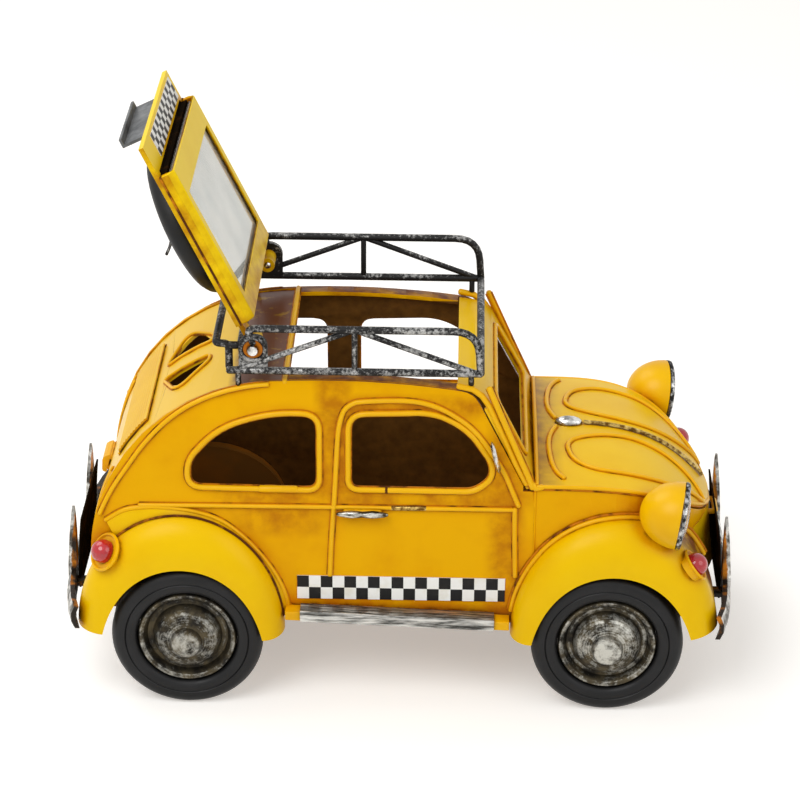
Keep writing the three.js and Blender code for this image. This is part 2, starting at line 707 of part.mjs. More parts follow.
function windscreenFrame() {
  const top = windscreenTop(0);
  const down = new THREE.Vector2(Math.sin(WINDSCREEN_RAKE), -Math.cos(WINDSCREEN_RAKE));
  const inward = new THREE.Vector2(-Math.cos(WINDSCREEN_RAKE), -Math.sin(WINDSCREEN_RAKE));
  const headerRear = new THREE.Vector2(top.x - HEADER_DEPTH, roofHeightAt(top.x - HEADER_DEPTH, 0));
  const bend = 4;
  const headerFront = new THREE.Vector2(top.x - bend, roofHeightAt(top.x - bend, 0));
  const plateTop = top.clone().addScaledVector(down, bend);
  const plateFoot = new THREE.Vector2(COWL_X, COWL_HEIGHT);
  const bendMiddle = headerFront.clone().add(plateTop).addScaledVector(top, 2).multiplyScalar(0.25);
  const straightDown = new THREE.Vector2(0, -1);
  const ring = (outer, direction, half) => {
    const inner = outer.clone().addScaledVector(direction, SHEET);
    return [
      new THREE.Vector3(outer.x, -half, outer.y),
      new THREE.Vector3(outer.x, half, outer.y),
      new THREE.Vector3(inner.x, half, inner.y),
      new THREE.Vector3(inner.x, -half, inner.y),
    ];
  };
  const betweenPanels = (height) => bodyHalfAt(height) - SHEET / Math.cos(PANEL_LEAN) - GAP;
  const diagonal = straightDown.clone().add(inward).normalize();
  const plate = loft([
    ring(headerRear, straightDown, betweenPanels(headerRear.y)),
    ring(headerFront, straightDown, betweenPanels(headerFront.y)),
    ring(bendMiddle, diagonal, betweenPanels(bendMiddle.y)),
    ring(plateTop, inward, bodyHalfAt(plateTop.y)),
    ring(plateFoot, inward, bodyHalfAt(plateFoot.y)),
  ]);
  const returnDepth = new THREE.Vector2().copy(inward).multiplyScalar(WINDSCREEN_RETURN);
  const returns = SIDES.map((side) => {
    const rings = [plateTop, plateFoot].map((outer) => {
      const half = bodyHalfAt(outer.y);
      const back = outer.clone().add(returnDepth);
      return [
        new THREE.Vector3(outer.x, -half, outer.y),
        new THREE.Vector3(outer.x, -half + SHEET, outer.y),
        new THREE.Vector3(back.x, -half + SHEET, back.y),
        new THREE.Vector3(back.x, -half, back.y),
      ];
    });
    return onSide(side, loft(rings));
  });
  const frontLength = plateTop.distanceTo(plateFoot);
  const low = WINDSCREEN_SILL_MARGIN;
  const high = frontLength - WINDSCREEN_TOP_MARGIN + bend / 2;
  const half = ROOF_HALF - WINDSCREEN_SIDE_MARGIN;
  const outline = roundedOutline([
    [low, -half, 3],
    [high, -half + 2, 3],
    [high, half - 2, 3],
    [low, half, 3],
  ]);
  const tool = new THREE.ExtrudeGeometry(outline, { depth: 16, bevelEnabled: false, curveSegments: 4 });
  tool.translate(0, 0, -8);
  tool.rotateY(-Math.PI / 2 - WINDSCREEN_RAKE);
  tool.translate(plateFoot.x, 0, plateFoot.y);
  return cut(join([plate, ...returns]), [tool]);
}

// Bonnet: a crowned shield that bends down to the nose

const BONNET_STATIONS = 12;

function bonnetStation(i) {
  const along = 1 - (1 - i / BONNET_STATIONS) ** 1.5;
  return THREE.MathUtils.lerp(COWL_X + SEAM, NOSE_X - 0.6, along);
}

function bonnetHeightAt(x, y) {
  const half = Math.max(noseHalfAt(x), 0.1);
  return bonnetEdgeAt(x) + BONNET_CROWN * (1 - Math.min(1, (y / half) ** 2));
}

function bonnet() {
  const across = 6;
  const rings = [];
  for (let i = 0; i <= BONNET_STATIONS; i += 1) {
    const x = bonnetStation(i);
    const half = noseHalfAt(x);
    const slope = (bonnetEdgeAt(x + 0.05) - bonnetEdgeAt(x - 0.05)) / 0.1;
    const normal = new THREE.Vector2(-slope, 1).normalize();
    const upper = [];
    const lower = [];
    for (let k = 0; k <= across; k += 1) {
      const y = THREE.MathUtils.lerp(-half, half, k / across);
      const z = bonnetHeightAt(x, y);
      upper.push(new THREE.Vector3(x, y, z));
      lower.push(new THREE.Vector3(x - normal.x * SHEET, y, z - normal.y * SHEET));
    }
    rings.push([...upper, ...lower.reverse()]);
  }
  return loft(rings);
}

// Nose shell: one wall bent round the front in plan, under the bonnet's edge, with wheel arches

function noseShell() {
  const outline = [];
  const steps = 12;
  for (let i = 0; i <= steps; i += 1) {
    const along = 1 - (1 - i / steps) ** 2;
    const x = THREE.MathUtils.lerp(COWL_X + GAP, NOSE_X, along);
    outline.push(new THREE.Vector2(x, -noseHalfAt(x)));
  }
  const mirror = outline.slice(0, -1).reverse().map((point) => new THREE.Vector2(point.x, -point.y));
  const plan = [...outline, ...mirror];
  const rings = plan.map((point, i) => {
    const before = plan[Math.max(i - 1, 0)];
    const after = plan[Math.min(i + 1, plan.length - 1)];
    const along = after.clone().sub(before).normalize();
    const inward = new THREE.Vector2(-along.y, along.x);
    const inner = point.clone().addScaledVector(inward, SHEET);
    const slope = (bonnetEdgeAt(point.x) - bonnetEdgeAt(point.x - SHEET)) / SHEET;
    const top = bonnetEdgeAt(point.x) - SHEET * Math.sqrt(1 + slope * slope) - 1.5 * GAP;
    return [
      new THREE.Vector3(point.x, point.y, NOSE_FOOT_HEIGHT),
      new THREE.Vector3(point.x, point.y, top),
      new THREE.Vector3(inner.x, inner.y, top),
      new THREE.Vector3(inner.x, inner.y, NOSE_FOOT_HEIGHT),
    ];
  });
  const archInner = WIDTH_OVER_TYRES / 2 - TYRE_WIDTH - 3;
  const arches = [
    archTool(FRONT_AXLE_X, -BODY_HALF - 1, -archInner),
    archTool(FRONT_AXLE_X, archInner, BODY_HALF + 1),
  ];
  return cut(loft(rings), arches);
}

// Fenders: a thick rounded arch from the body to a lip just outside the tyre

function fenderSection(end, turn, grow) {
  const ahead = end === 'front' ? 1 : -1;
  const axle = end === 'front' ? FRONT_AXLE_X : REAR_AXLE_X;
  const cos = Math.cos(turn);
  const sin = Math.sin(turn);
  const seat = new THREE.Vector2(
    axle + ahead * FENDER_AHEAD + (FENDER_HALF_LENGTH + grow) * cos,
    FENDER_FOOT_HEIGHT + (FENDER_TOP_HEIGHT - FENDER_FOOT_HEIGHT + grow) * sin,
  );
  const flare = FENDER_LIP_FLARE * (1 - sin) ** 3;
  const lip = new THREE.Vector2(
    axle + ahead * FENDER_LIP_AHEAD + (FENDER_LIP_HALF_LENGTH + flare) * cos,
    FENDER_FOOT_HEIGHT + (FENDER_LIP_TOP_HEIGHT - FENDER_FOOT_HEIGHT) * sin,
  );
  const outer = FENDER_HALF + grow;
  const body = end === 'front' ? Math.max(noseHalfAt(seat.x), FENDER_INNER_HALF) : BODY_HALF;
  const onPanel = end === 'front' && seat.x < COWL_X + 2 ? BODY_HALF : body;
  const inner = onPanel + (end === 'front' ? 3 * GAP : GAP);
  return { seat, lip, inner, outer, bulge: Math.min(FENDER_BULGE, outer - inner - 0.2) };
}

function fenderSurface(section, roll, wall) {
  const depth = Math.min(wall, section.bulge - 0.5);
  const radial = section.lip.clone().sub(section.seat);
  const start = section.seat.clone().addScaledVector(radial.clone().normalize(), depth);
  const place = start.clone().lerp(section.lip, 1 - Math.cos(roll));
  const round = section.bulge - depth;
  const across = section.outer - depth - round * (1 - Math.sin(roll));
  return new THREE.Vector3(place.x, -across, place.y);
}

function fender(end, grow = 0, wall = SHEET) {
  const turns = 15;
  const rolls = 5;
  const tip = FENDER_TIP_TURN[end];
  const first = end === 'front' ? tip : 0;
  const rings = [];
  for (let i = 0; i <= turns; i += 1) {
    const section = fenderSection(end, first + (i / turns) * (Math.PI - tip), grow);
    const outside = [fenderSurface(section, 0, 0).setY(-section.inner)];
    const inside = [fenderSurface(section, 0, wall).setY(-section.inner)];
    for (let k = 0; k <= rolls; k += 1) {
      const roll = (k / rolls) * (Math.PI / 2);
      outside.push(fenderSurface(section, roll, 0));
      inside.push(fenderSurface(section, roll, wall));
    }
    rings.push([...outside, ...inside.reverse()]);
  }
  return loft(rings);
}

// Place on a fender's outside, nearest to a point along and across the car
function fenderSeat(end, x, half) {
  const ahead = end === 'front' ? 1 : -1;
  const axle = end === 'front' ? FRONT_AXLE_X : REAR_AXLE_X;
  const turn = Math.acos((x - axle - ahead * FENDER_AHEAD) / FENDER_HALF_LENGTH);
  const section = fenderSection(end, turn, 0);
  const roll = Math.asin(THREE.MathUtils.clamp(1 - (section.outer - half) / section.bulge, 0, 1));
  const place = fenderSurface(section, roll, 0);
  const beside = fenderSurface(fenderSection(end, turn + 0.02, 0), roll, 0).sub(place);
  const normal = new THREE.Vector3(beside.z, 0, -beside.x).normalize();
  return { place, normal: normal.z < 0 ? normal.negate() : normal };
}

// Running boards along the sill, lower at the front

function boardEnds() {
  const fenderFront = REAR_AXLE_X - FENDER_AHEAD + FENDER_HALF_LENGTH;
  const fenderRear = FRONT_AXLE_X + FENDER_AHEAD - FENDER_HALF_LENGTH;
  return { rear: fenderFront + GAP, front: fenderRear - GAP };
}

function sillHeightAt(x) {
  const along = (x - REAR_AXLE_X) / (COWL_X - GAP - REAR_AXLE_X);
  return THREE.MathUtils.lerp(SILL_REAR_HEIGHT, SILL_FRONT_HEIGHT, along);
}

function sillBar(rear, front, yLow, yHigh, below, above) {
  return loft([rear, front].map((x) => [
    new THREE.Vector3(x, yLow, sillHeightAt(x) + above),
    new THREE.Vector3(x, yHigh, sillHeightAt(x) + above),
    new THREE.Vector3(x, yHigh, sillHeightAt(x) + below),
    new THREE.Vector3(x, yLow, sillHeightAt(x) + below),
  ]));
}

function runningBoard() {
  const { rear, front } = boardEnds();
  const inner = -BODY_HALF - GAP;
  return sillBar(rear, front, inner - BOARD_WIDTH, inner, 0, BOARD_THICKNESS);
}

function treadStrip() {
  const { rear, front } = boardEnds();
  const edge = -BODY_HALF - GAP - BOARD_WIDTH;
  const outer = edge - GAP - TREAD_THICKNESS;
  const foot = BOARD_THICKNESS + GAP;
  const ends = [rear + TREAD_END_MARGIN, front - TREAD_END_MARGIN];
  const top = sillBar(...ends, outer, edge + TREAD_WIDTH, foot, foot + TREAD_THICKNESS);
  const fold = sillBar(...ends, outer, edge - GAP, GAP, foot + TREAD_THICKNESS);
  return join([top, fold]);
}

// Floor pan with tabs that carry the axles

function floorPan() {
  const wheelInner = WIDTH_OVER_TYRES / 2 - TYRE_WIDTH;
  const half = Math.min(wheelInner - 2, BODY_HALF - SHEET - GAP);
  const panelHalf = BODY_HALF - SHEET - GAP;
  const box = (xLow, xHigh, y, zLow, zHigh) => {
    const geometry = new THREE.BoxGeometry(xHigh - xLow, 2 * y, zHigh - zLow);
    return geometry.translate((xLow + xHigh) / 2, 0, (zLow + zHigh) / 2);
  };
  const top = FLOOR_HEIGHT;
  const rearEnd = REAR_AXLE_X - TAIL_OVERHANG + FLOOR_END_MARGIN;
  const noseEnd = NOSE_X - SHEET - GAP;
  const tongueHalf = IRON_HALF_SPACING / 2;
  const tongue = box(rearEnd, noseEnd, tongueHalf, top - SHEET, top);
  const middle = box(REAR_AXLE_X - 20, FRONT_AXLE_X + 18, half, top - SHEET, top);
  const cabinEnd = FRONT_AXLE_X - ARCH_RADIUS - 1;
  const cabin = box(-cabinEnd, cabinEnd, panelHalf, top - SHEET, top);
  const tabs = ENDS.flatMap((end) => SIDES.map((side) => {
    const x = end === 'front' ? FRONT_AXLE_X : REAR_AXLE_X;
    const drop = AXLE_HEIGHT - AXLE_DIAMETER;
    const outline = roundedOutline([
      [x - 6, top - SHEET / 2, 0.1],
      [x - 6, drop - 2, 4],
      [x + 6, drop - 2, 4],
      [x + 6, top - SHEET / 2, 0.1],
    ]);
    return onSide(side, toIndexed(acrossCar(outline, -half, -half + SHEET, 3)));
  }));
  const boreRadius = (AXLE_DIAMETER / 2 + RUNNING_GAP) / Math.cos(Math.PI / AXLE_SIDES);
  const bores = [FRONT_AXLE_X, REAR_AXLE_X].map((x) => {
    const bore = new THREE.CylinderGeometry(boreRadius, boreRadius, 2 * half + 2, AXLE_SIDES);
    return bore.translate(x, 0, AXLE_HEIGHT);
  });
  return cut(join([tongue, middle, cabin, ...tabs]), bores);
}

function toIndexed(geometry) {
  return facingOut(mergeVertices(stripped(geometry), 1e-4));
}

// Lamps

function headlampPlace(geometry) {
  geometry.rotateZ(-Math.PI / 2);
  geometry.rotateY(HEADLAMP_PITCH);
  geometry.rotateZ(-HEADLAMP_TOE);
  const besideNose = noseHalfAt(FRONT_AXLE_X + HEADLAMP_AHEAD - HEADLAMP_LENGTH / 2);
  const half = besideNose + HEADLAMP_DIAMETER / 2 - HEADLAMP_NESTING;
  geometry.translate(FRONT_AXLE_X + HEADLAMP_AHEAD, -half, FENDER_TOP_HEIGHT + HEADLAMP_ABOVE_FENDER);
  return geometry;
}

const LAMP_SIDES = 16;

function headlampShell() {
  const radius = HEADLAMP_DIAMETER / 2 - 0.3;
  const steps = 4;
  const outside = [];
  const inside = [];
  for (let i = 0; i <= steps; i += 1) {
    const angle = (i / steps) * (Math.PI / 2);
    outside.push([radius * Math.sin(angle), -HEADLAMP_LENGTH * Math.cos(angle)]);
    inside.push([(radius - SHEET) * Math.sin(angle), -(HEADLAMP_LENGTH - SHEET) * Math.cos(angle)]);
  }
  const bowl = headlampPlace(turned([...outside, ...inside.reverse()], LAMP_SIDES));
  return cut(bowl, [fender('front', GAP, FENDER_BULGE - 0.5)]);
}

function headlampRim() {
  const outer = HEADLAMP_DIAMETER / 2;
  const inner = outer - HEADLAMP_RIM_WIDTH;
  const ring = turned([
    [inner, GAP], [outer, GAP], [outer, 1.4 + GAP],
    [outer - 0.8, 2.2 + GAP], [inner, 1.6 + GAP], [inner, GAP],
  ], LAMP_SIDES);
  return cut(headlampPlace(ring), [fender('front', GAP, FENDER_BULGE - 0.5)]);
}

function headlampLens() {
  const radius = HEADLAMP_DIAMETER / 2 - HEADLAMP_RIM_WIDTH - GAP;
  return headlampPlace(turned([
    [0, 0.4], [radius, 0.4], [radius, 1.4], [radius * 0.7, 2.4], [radius * 0.35, 2.9], [0, 3.1],
  ], LAMP_SIDES));
}

// Domed lamp on a round base, seated on a fender along its normal
function fenderLamp(end, x, half) {
  const seat = fenderSeat(end, x, half);
  const base = LAMP_BASE_DIAMETER / 2;
  const dome = LAMP_DIAMETER / 2;
  const sink = 2;
  const profile = [[0, -sink], [base, -sink], [base, LAMP_BASE_HEIGHT - 1], [dome, LAMP_BASE_HEIGHT]];
  const steps = 3;
  for (let i = 1; i <= steps; i += 1) {
    const angle = (i / steps) * (Math.PI / 2);
    profile.push([dome * Math.cos(angle), LAMP_BASE_HEIGHT + dome * Math.sin(angle)]);
  }
  const lamp = turned(profile, 12);
  lamp.applyQuaternion(new THREE.Quaternion().setFromUnitVectors(new THREE.Vector3(0, 1, 0), seat.normal));
  lamp.translate(seat.place.x, seat.place.y, seat.place.z);
  return cut(lamp, [fender(end, GAP, FENDER_BULGE - 0.5)]);
}

// Bumpers: a swept, crowned blade with two tall overriders and two irons to the floor

function bumper(end) {
  const tip = BUMPER_X;
  const half = BUMPER_HALF;
  const crown = BUMPER_CROWN + BUMPER_THICKNESS;
  const faceX = (y) => tip - BUMPER_SWEEP * (y / half) ** 4;
  const blade = [];
  const steps = 14;
  for (let i = 0; i <= steps; i += 1) {
    const y = THREE.MathUtils.lerp(-half, half, i / steps);
    const x = faceX(y);
    const low = BUMPER_FOOT_HEIGHT;
    const high = BUMPER_FOOT_HEIGHT + BUMPER_HEIGHT;
    const middle = (low + high) / 2;
    blade.push([
      new THREE.Vector3(x - BUMPER_CROWN, y, low),
      new THREE.Vector3(x, y, middle - 1.5),
      new THREE.Vector3(x, y, middle + 1.5),
      new THREE.Vector3(x - BUMPER_CROWN, y, high),
      new THREE.Vector3(x - crown, y, high),
      new THREE.Vector3(x - BUMPER_THICKNESS, y, middle + 1.5),
      new THREE.Vector3(x - BUMPER_THICKNESS, y, middle - 1.5),
      new THREE.Vector3(x - crown, y, low),
    ]);
  }
  const overriders = [-1, 1].map((sign) => {
    const y = sign * OVERRIDER_HALF_SPACING;
    const x = faceX(y);
    const rise = OVERRIDER_TOP_HEIGHT - BUMPER_FOOT_HEIGHT;
    const stations = [[0, 1], [0.35, 1], [0.7, 0.7], [0.9, 0.4], [1, 0.12]];
    return loft(stations.map(([up, wide]) => {
      const z = BUMPER_FOOT_HEIGHT + rise * up;
      const w = (OVERRIDER_WIDTH / 2) * wide;
      const lean = 2.2 * up * up;
      return [
        new THREE.Vector3(x - lean, y - w, z),
        new THREE.Vector3(x - lean, y + w, z),
        new THREE.Vector3(x - lean - crown, y + w, z),
        new THREE.Vector3(x - lean - crown, y - w, z),
      ];
    }));
  });
  const irons = [-1, 1].map((sign) => {
    const from = FRONT_AXLE_X + 10;
    const to = tip - BUMPER_THICKNESS / 2;
    const iron = new THREE.BoxGeometry(to - from, BUMPER_IRON_WIDTH, SHEET);
    return iron.translate((from + to) / 2, sign * IRON_HALF_SPACING, IRON_FOOT_HEIGHT + SHEET / 2);
  });
  const whole = join([loft(blade), ...overriders, ...irons]);
  if (end === 'rear') {
    whole.rotateZ(Math.PI);
  }
  return whole;
}

// Small fittings

function doorHandle() {
  const r = HANDLE_DIAMETER / 2;
  const x = PILLAR_MIDDLE_X + HANDLE_AHEAD_OF_PILLAR;
  const height = BELT_HEIGHT - HANDLE_BELOW_BELT;
  const standoff = r + 0.6;
  const spindle = turned([
    [0, -HANDLE_LENGTH / 2], [r * 0.5, -HANDLE_LENGTH / 2 + 1], [r, -HANDLE_LENGTH / 5], [r * 0.7, 0],
    [r, HANDLE_LENGTH / 5], [r * 0.5, HANDLE_LENGTH / 2 - 1], [0, HANDLE_LENGTH / 2],
  ], 8);
  spindle.rotateZ(-Math.PI / 2);
  spindle.translate(x, -BODY_HALF - GAP - standoff, height);
  const base = new THREE.BoxGeometry(HANDLE_LENGTH * 0.7, standoff, r * 1.4);
  base.translate(x, -BODY_HALF - GAP - standoff / 2, height);
  return join([spindle, base]);
}

// Wing mirror: an oval plate on a short stalk beside the windscreen pillar
function wingMirror() {
  const height = COWL_HEIGHT + MIRROR_ABOVE_COWL;
  const upward = MIRROR_ABOVE_COWL * Math.tan(WINDSCREEN_RAKE);
  const x = COWL_X - upward - WINDSCREEN_RETURN * 1.6 - 2;
  const half = bodyHalfAt(height);
  const plate = turned([
    [0, -0.7], [MIRROR_WIDTH / 2 - 0.5, -0.7], [MIRROR_WIDTH / 2, 0], [MIRROR_WIDTH / 2 - 0.5, 0.7], [0, 0.9],
  ], 14);
  plate.rotateZ(-Math.PI / 2);
  plate.scale(1, 1, MIRROR_LENGTH / MIRROR_WIDTH);
  plate.rotateY(-WINDSCREEN_RAKE / 2);
  plate.translate(x, -half - MIRROR_WIDTH / 2 - 1.6, height);
  const stalk = wire([
    new THREE.Vector3(x, -half - GAP, height),
    new THREE.Vector3(x, -half - MIRROR_WIDTH / 2 - 1.2, height),
  ], 1.3);
  return join([plate, stalk]);
}

function bonnetOrnament() {
  const x = FRONT_AXLE_X - ORNAMENT_BEHIND_AXLE;
  const oval = new THREE.SphereGeometry(1, 16, 8);
  oval.scale(ORNAMENT_LENGTH / 2, ORNAMENT_WIDTH / 2, ORNAMENT_HEIGHT);
  oval.translate(x, 0, bonnetHeightAt(x, 0) + GAP);
  const below = new THREE.BoxGeometry(ORNAMENT_LENGTH + 2, ORNAMENT_WIDTH + 2, 6);
  below.translate(x, 0, bonnetHeightAt(x, 0) + GAP - 3);
  return cut(oval, [below]);
}

function bonnetSpine() {
  const rear = FRONT_AXLE_X - ORNAMENT_BEHIND_AXLE + ORNAMENT_LENGTH / 2 + GAP;
  const front = NOSE_X - 3;
  const rings = [];
  const steps = 12;
  for (let i = 0; i <= steps; i += 1) {
    const x = THREE.MathUtils.lerp(rear, front, 1 - (1 - i / steps) ** 1.4);
    const z = bonnetHeightAt(x, 0);
    const slope = (bonnetEdgeAt(x + 0.05) - bonnetEdgeAt(x - 0.05)) / 0.1;
    const normal = new THREE.Vector2(-slope, 1).normalize();
    const at = (up, y) => new THREE.Vector3(x + normal.x * up, y, z + normal.y * up);
    rings.push([
      at(GAP, -SPINE_WIDTH / 2), at(GAP, SPINE_WIDTH / 2),
      at(GAP + SPINE_HEIGHT, SPINE_WIDTH / 4), at(GAP + SPINE_HEIGHT, -SPINE_WIDTH / 4),
    ]);
  }
  return loft(rings);
}

// Pull handle on the nose, under the bonnet's tip
function noseHandle() {
  const z = bonnetEdgeAt(NOSE_X) - SHEET - GAP - 3;
  const half = NOSE_HANDLE_WIDTH / 2;
  const seat = (y) => {
    let x = NOSE_X;
    while (noseHalfAt(x) < Math.abs(y) && x > COWL_X) {
      x -= 0.05;
    }
    return x + GAP + 0.2;
  };
  const out = NOSE_X + NOSE_HANDLE_REACH;
  return wire([
    new THREE.Vector3(seat(half), -half, z),
    new THREE.Vector3(out, -half, z),
    new THREE.Vector3(out, half, z),
    new THREE.Vector3(seat(half), half, z),
  ], NOSE_HANDLE_DIAMETER, 1.5);
}

// Side-view place of a point of the open lid, given along and outward from the hinge pin
function lidPoint(u, outward) {
  return new THREE.Vector2(
    HINGE_X + u * Math.cos(LID_OPEN) - outward * Math.sin(LID_OPEN),
    HINGE_HEIGHT + u * Math.sin(LID_OPEN) + outward * Math.cos(LID_OPEN),
  );
}

// Roof rack

function rackSide() {
  const y = -RACK_HALF;
  const at = (x, z) => new THREE.Vector3(x, y, z);
  const lower = wire([at(RACK_REAR_X, RACK_LOWER_HEIGHT), at(RACK_FRONT_X, RACK_LOWER_HEIGHT)], RACK_WIRE);
  const upper = wire([
    at(HINGE_X, HINGE_HEIGHT + 2),
    at(HINGE_X - 2, RACK_UPPER_HEIGHT),
    at(RACK_FRONT_X - 1, RACK_UPPER_HEIGHT),
    at(RACK_FRONT_X, RACK_LOWER_HEIGHT),
  ], RACK_WIRE, [RACK_REAR_BEND, RACK_FRONT_BEND]);
  const strutTop = at(RACK_STRUT_X, RACK_UPPER_HEIGHT);
  const braces = [RACK_REAR_X + 2, RACK_STRUT_X, RACK_FRONT_X - 1].map(
    (x) => wire([at(x, RACK_LOWER_HEIGHT), strutTop], BRACE_WIRE),
  );
  const feet = [RACK_REAR_X + 3, RACK_FRONT_X - 3].map((x) => {
    const onTail = x < TAIL_CENTRE.x - TAIL_RADIUS * Math.sin(TAIL_JOIN);
    const tail = TAIL_CENTRE.y + Math.sqrt(Math.max(0, TAIL_RADIUS ** 2 - (x - TAIL_CENTRE.x) ** 2));
    const seat = onTail ? tail : roofHeightAt(x, 0);
    const half = bodyHalfAt(seat) - SHEET / 2;
    return wire([new THREE.Vector3(x, -half, seat + GAP), at(x, RACK_LOWER_HEIGHT)], BRACE_WIRE);
  });
  const lug = acrossCar(roundedOutline([
    [HINGE_X - 4.6, RACK_LOWER_HEIGHT, 1],
    [HINGE_X + 4.6, RACK_LOWER_HEIGHT, 1],
    [HINGE_X + 4.6, HINGE_HEIGHT + 4.6, 4.5],
    [HINGE_X - 4.6, HINGE_HEIGHT + 4.6, 4.5],
  ]), -RACK_INNER_HALF - LUG_THICKNESS, -RACK_INNER_HALF, 4);
  const boreRadius = PIN_DIAMETER / 2 + RUNNING_GAP;
  const bore = new THREE.CylinderGeometry(boreRadius, boreRadius, RACK_WIRE * 3, 12);
  bore.translate(HINGE_X, y, HINGE_HEIGHT);
  return cut(join([lower, upper, lug, ...braces, ...feet]), [bore]);
}

function rackFrontBar() {
  const half = RACK_INNER_HALF - GAP;
  return wire([
    new THREE.Vector3(RACK_FRONT_X, -half, RACK_LOWER_HEIGHT),
    new THREE.Vector3(RACK_FRONT_X, half, RACK_LOWER_HEIGHT),
  ], RACK_WIRE);
}

// Rear frame: a loop behind the hinge and the stop bar that the open lid leans on
function rackRearFrame() {
  const outside = RACK_INNER_HALF - GAP;
  const half = outside - LUG_THICKNESS;
  const rear = RACK_REAR_X - RACK_LOOP_REACH;
  const loop = wire([
    new THREE.Vector3(RACK_REAR_X, -outside + RACK_WIRE / 2, RACK_LOWER_HEIGHT),
    new THREE.Vector3(RACK_REAR_X, -outside + RACK_WIRE / 2, RACK_LOOP_HEIGHT),
    new THREE.Vector3(rear, -half, RACK_LOOP_HEIGHT),
    new THREE.Vector3(rear, half, RACK_LOOP_HEIGHT),
    new THREE.Vector3(RACK_REAR_X, outside - RACK_WIRE / 2, RACK_LOOP_HEIGHT),
    new THREE.Vector3(RACK_REAR_X, outside - RACK_WIRE / 2, RACK_LOWER_HEIGHT),
  ], RACK_WIRE, 1.8);
  const stop = lidPoint(STOP_U, LID_OUTER + RACK_WIRE / 2 + 2 * GAP);
  const post = outside - RACK_WIRE / 2;
  const bar = wire([
    new THREE.Vector3(RACK_REAR_X, -post, stop.y),
    new THREE.Vector3(stop.x, -post, stop.y),
    new THREE.Vector3(stop.x, post, stop.y),
    new THREE.Vector3(RACK_REAR_X, post, stop.y),
  ], RACK_WIRE, 1.4);
  return join([loop, bar]);
}

// Lid group: drawn closed about the hinge pin, then swung open

const lid = new THREE.Group();
lid.position.set(HINGE_X, 0, HINGE_HEIGHT);
lid.rotation.y = -LID_OPEN;
car.add(lid);

function lidBox(uLow, uHigh, half, zLow, zHigh) {
  const geometry = new THREE.BoxGeometry(uHigh - uLow, 2 * half, zHigh - zLow);
  return geometry.translate((uLow + uHigh) / 2, 0, (zLow + zHigh) / 2);
}

function lidPlate() {
  const half = LID_HALF - LID_WALL - GAP;
  const coreFoot = LID_OUTER - LID_CORE_DEPTH;
  const core = lidBox(LID_PLATE_FOOT_U, LID_SLOT_U - LID_SLOT_DEPTH, half, coreFoot, LID_OUTER);
  const sheet = lidBox(LID_FRAME_FOOT_U, LID_TOP_U, LID_HALF, LID_OUTER - LID_SHEET, LID_OUTER);
  const knuckleMiddle = KNUCKLE_OUTER - KNUCKLE_LENGTH / 2;
  const knuckles = SIDES.flatMap((side) => {
    const sign = side === 'right' ? -1 : 1;
    const barrel = new THREE.CylinderGeometry(KNUCKLE_DIAMETER / 2, KNUCKLE_DIAMETER / 2, KNUCKLE_LENGTH, 16);
    barrel.translate(0, sign * knuckleMiddle, 0);
    const tab = new THREE.BoxGeometry(LID_PLATE_FOOT_U + 1, KNUCKLE_LENGTH - 2, LID_SHEET);
    const tabMiddle = half - KNUCKLE_LENGTH / 2 + 1;
    tab.translate((LID_PLATE_FOOT_U + 1) / 2, sign * tabMiddle, LID_OUTER - LID_SHEET / 2);
    return [barrel, tab];
  });
  const boreRadius = (PIN_DIAMETER / 2 + RUNNING_GAP) / Math.cos(Math.PI / 16);
  const bore = new THREE.CylinderGeometry(boreRadius, boreRadius, 2 * RACK_HALF, 16);
  return cut(join([core, sheet, ...knuckles]), [bore]);
}

function photoFrame() {
  const half = LID_HALF;
  const foot = LID_INNER;
  const top = LID_OUTER - LID_SHEET - GAP;
  const deep = LID_OUTER - LID_INNER;
  const outer = loft([LID_FRAME_FOOT_U, LID_SLOT_U].map((u) => [
    new THREE.Vector3(u, -half, top),
    new THREE.Vector3(u, half, top),
    new THREE.Vector3(u, half, foot + LID_CHAMFER),
    new THREE.Vector3(u, half - LID_CHAMFER, foot),
    new THREE.Vector3(u, -half + LID_CHAMFER, foot),
    new THREE.Vector3(u, -half, foot + LID_CHAMFER),
  ]));
  const inside = lidBox(
    LID_FRAME_FOOT_U + LID_WALL, LID_SLOT_U + 1, half - LID_WALL,
    foot + LID_BORDER_THICKNESS, LID_OUTER + 1,
  );
  const view = roundedOutline([
    [LID_FRAME_FOOT_U + LID_FOOT_BORDER, -half + LID_BORDER, 1],
    [LID_SLOT_U - LID_TOP_BORDER, -half + LID_BORDER, 1],
    [LID_SLOT_U - LID_TOP_BORDER, half - LID_BORDER, 1],
    [LID_FRAME_FOOT_U + LID_FOOT_BORDER, half - LID_BORDER, 1],
  ]);
  const hole = new THREE.ExtrudeGeometry(view, { depth: deep, bevelEnabled: false, curveSegments: 4 });
  hole.translate(0, 0, foot - deep / 2);
  return cut(outer, [inside, hole]);
}

function photoCard() {
  const half = LID_HALF - LID_WALL - 2 * GAP;
  const foot = LID_FRAME_FOOT_U + LID_WALL + GAP;
  return lidBox(foot, LID_SLOT_U - 1, half, CARD_TOP - CARD_THICKNESS, CARD_TOP);
}

function photoWindow() {
  const half = LID_HALF - LID_WALL - GAP;
  return lidBox(
    LID_FRAME_FOOT_U + LID_WALL + GAP, LID_SLOT_U - 2, half, WINDOW_TOP - WINDOW_THICKNESS, WINDOW_TOP,
  );
}

function onLidOutside(geometry) {
  geometry.rotateX(Math.PI / 2);
  return geometry.translate(SPARE_MIDDLE_U, 0, LID_OUTER + GAP);
}

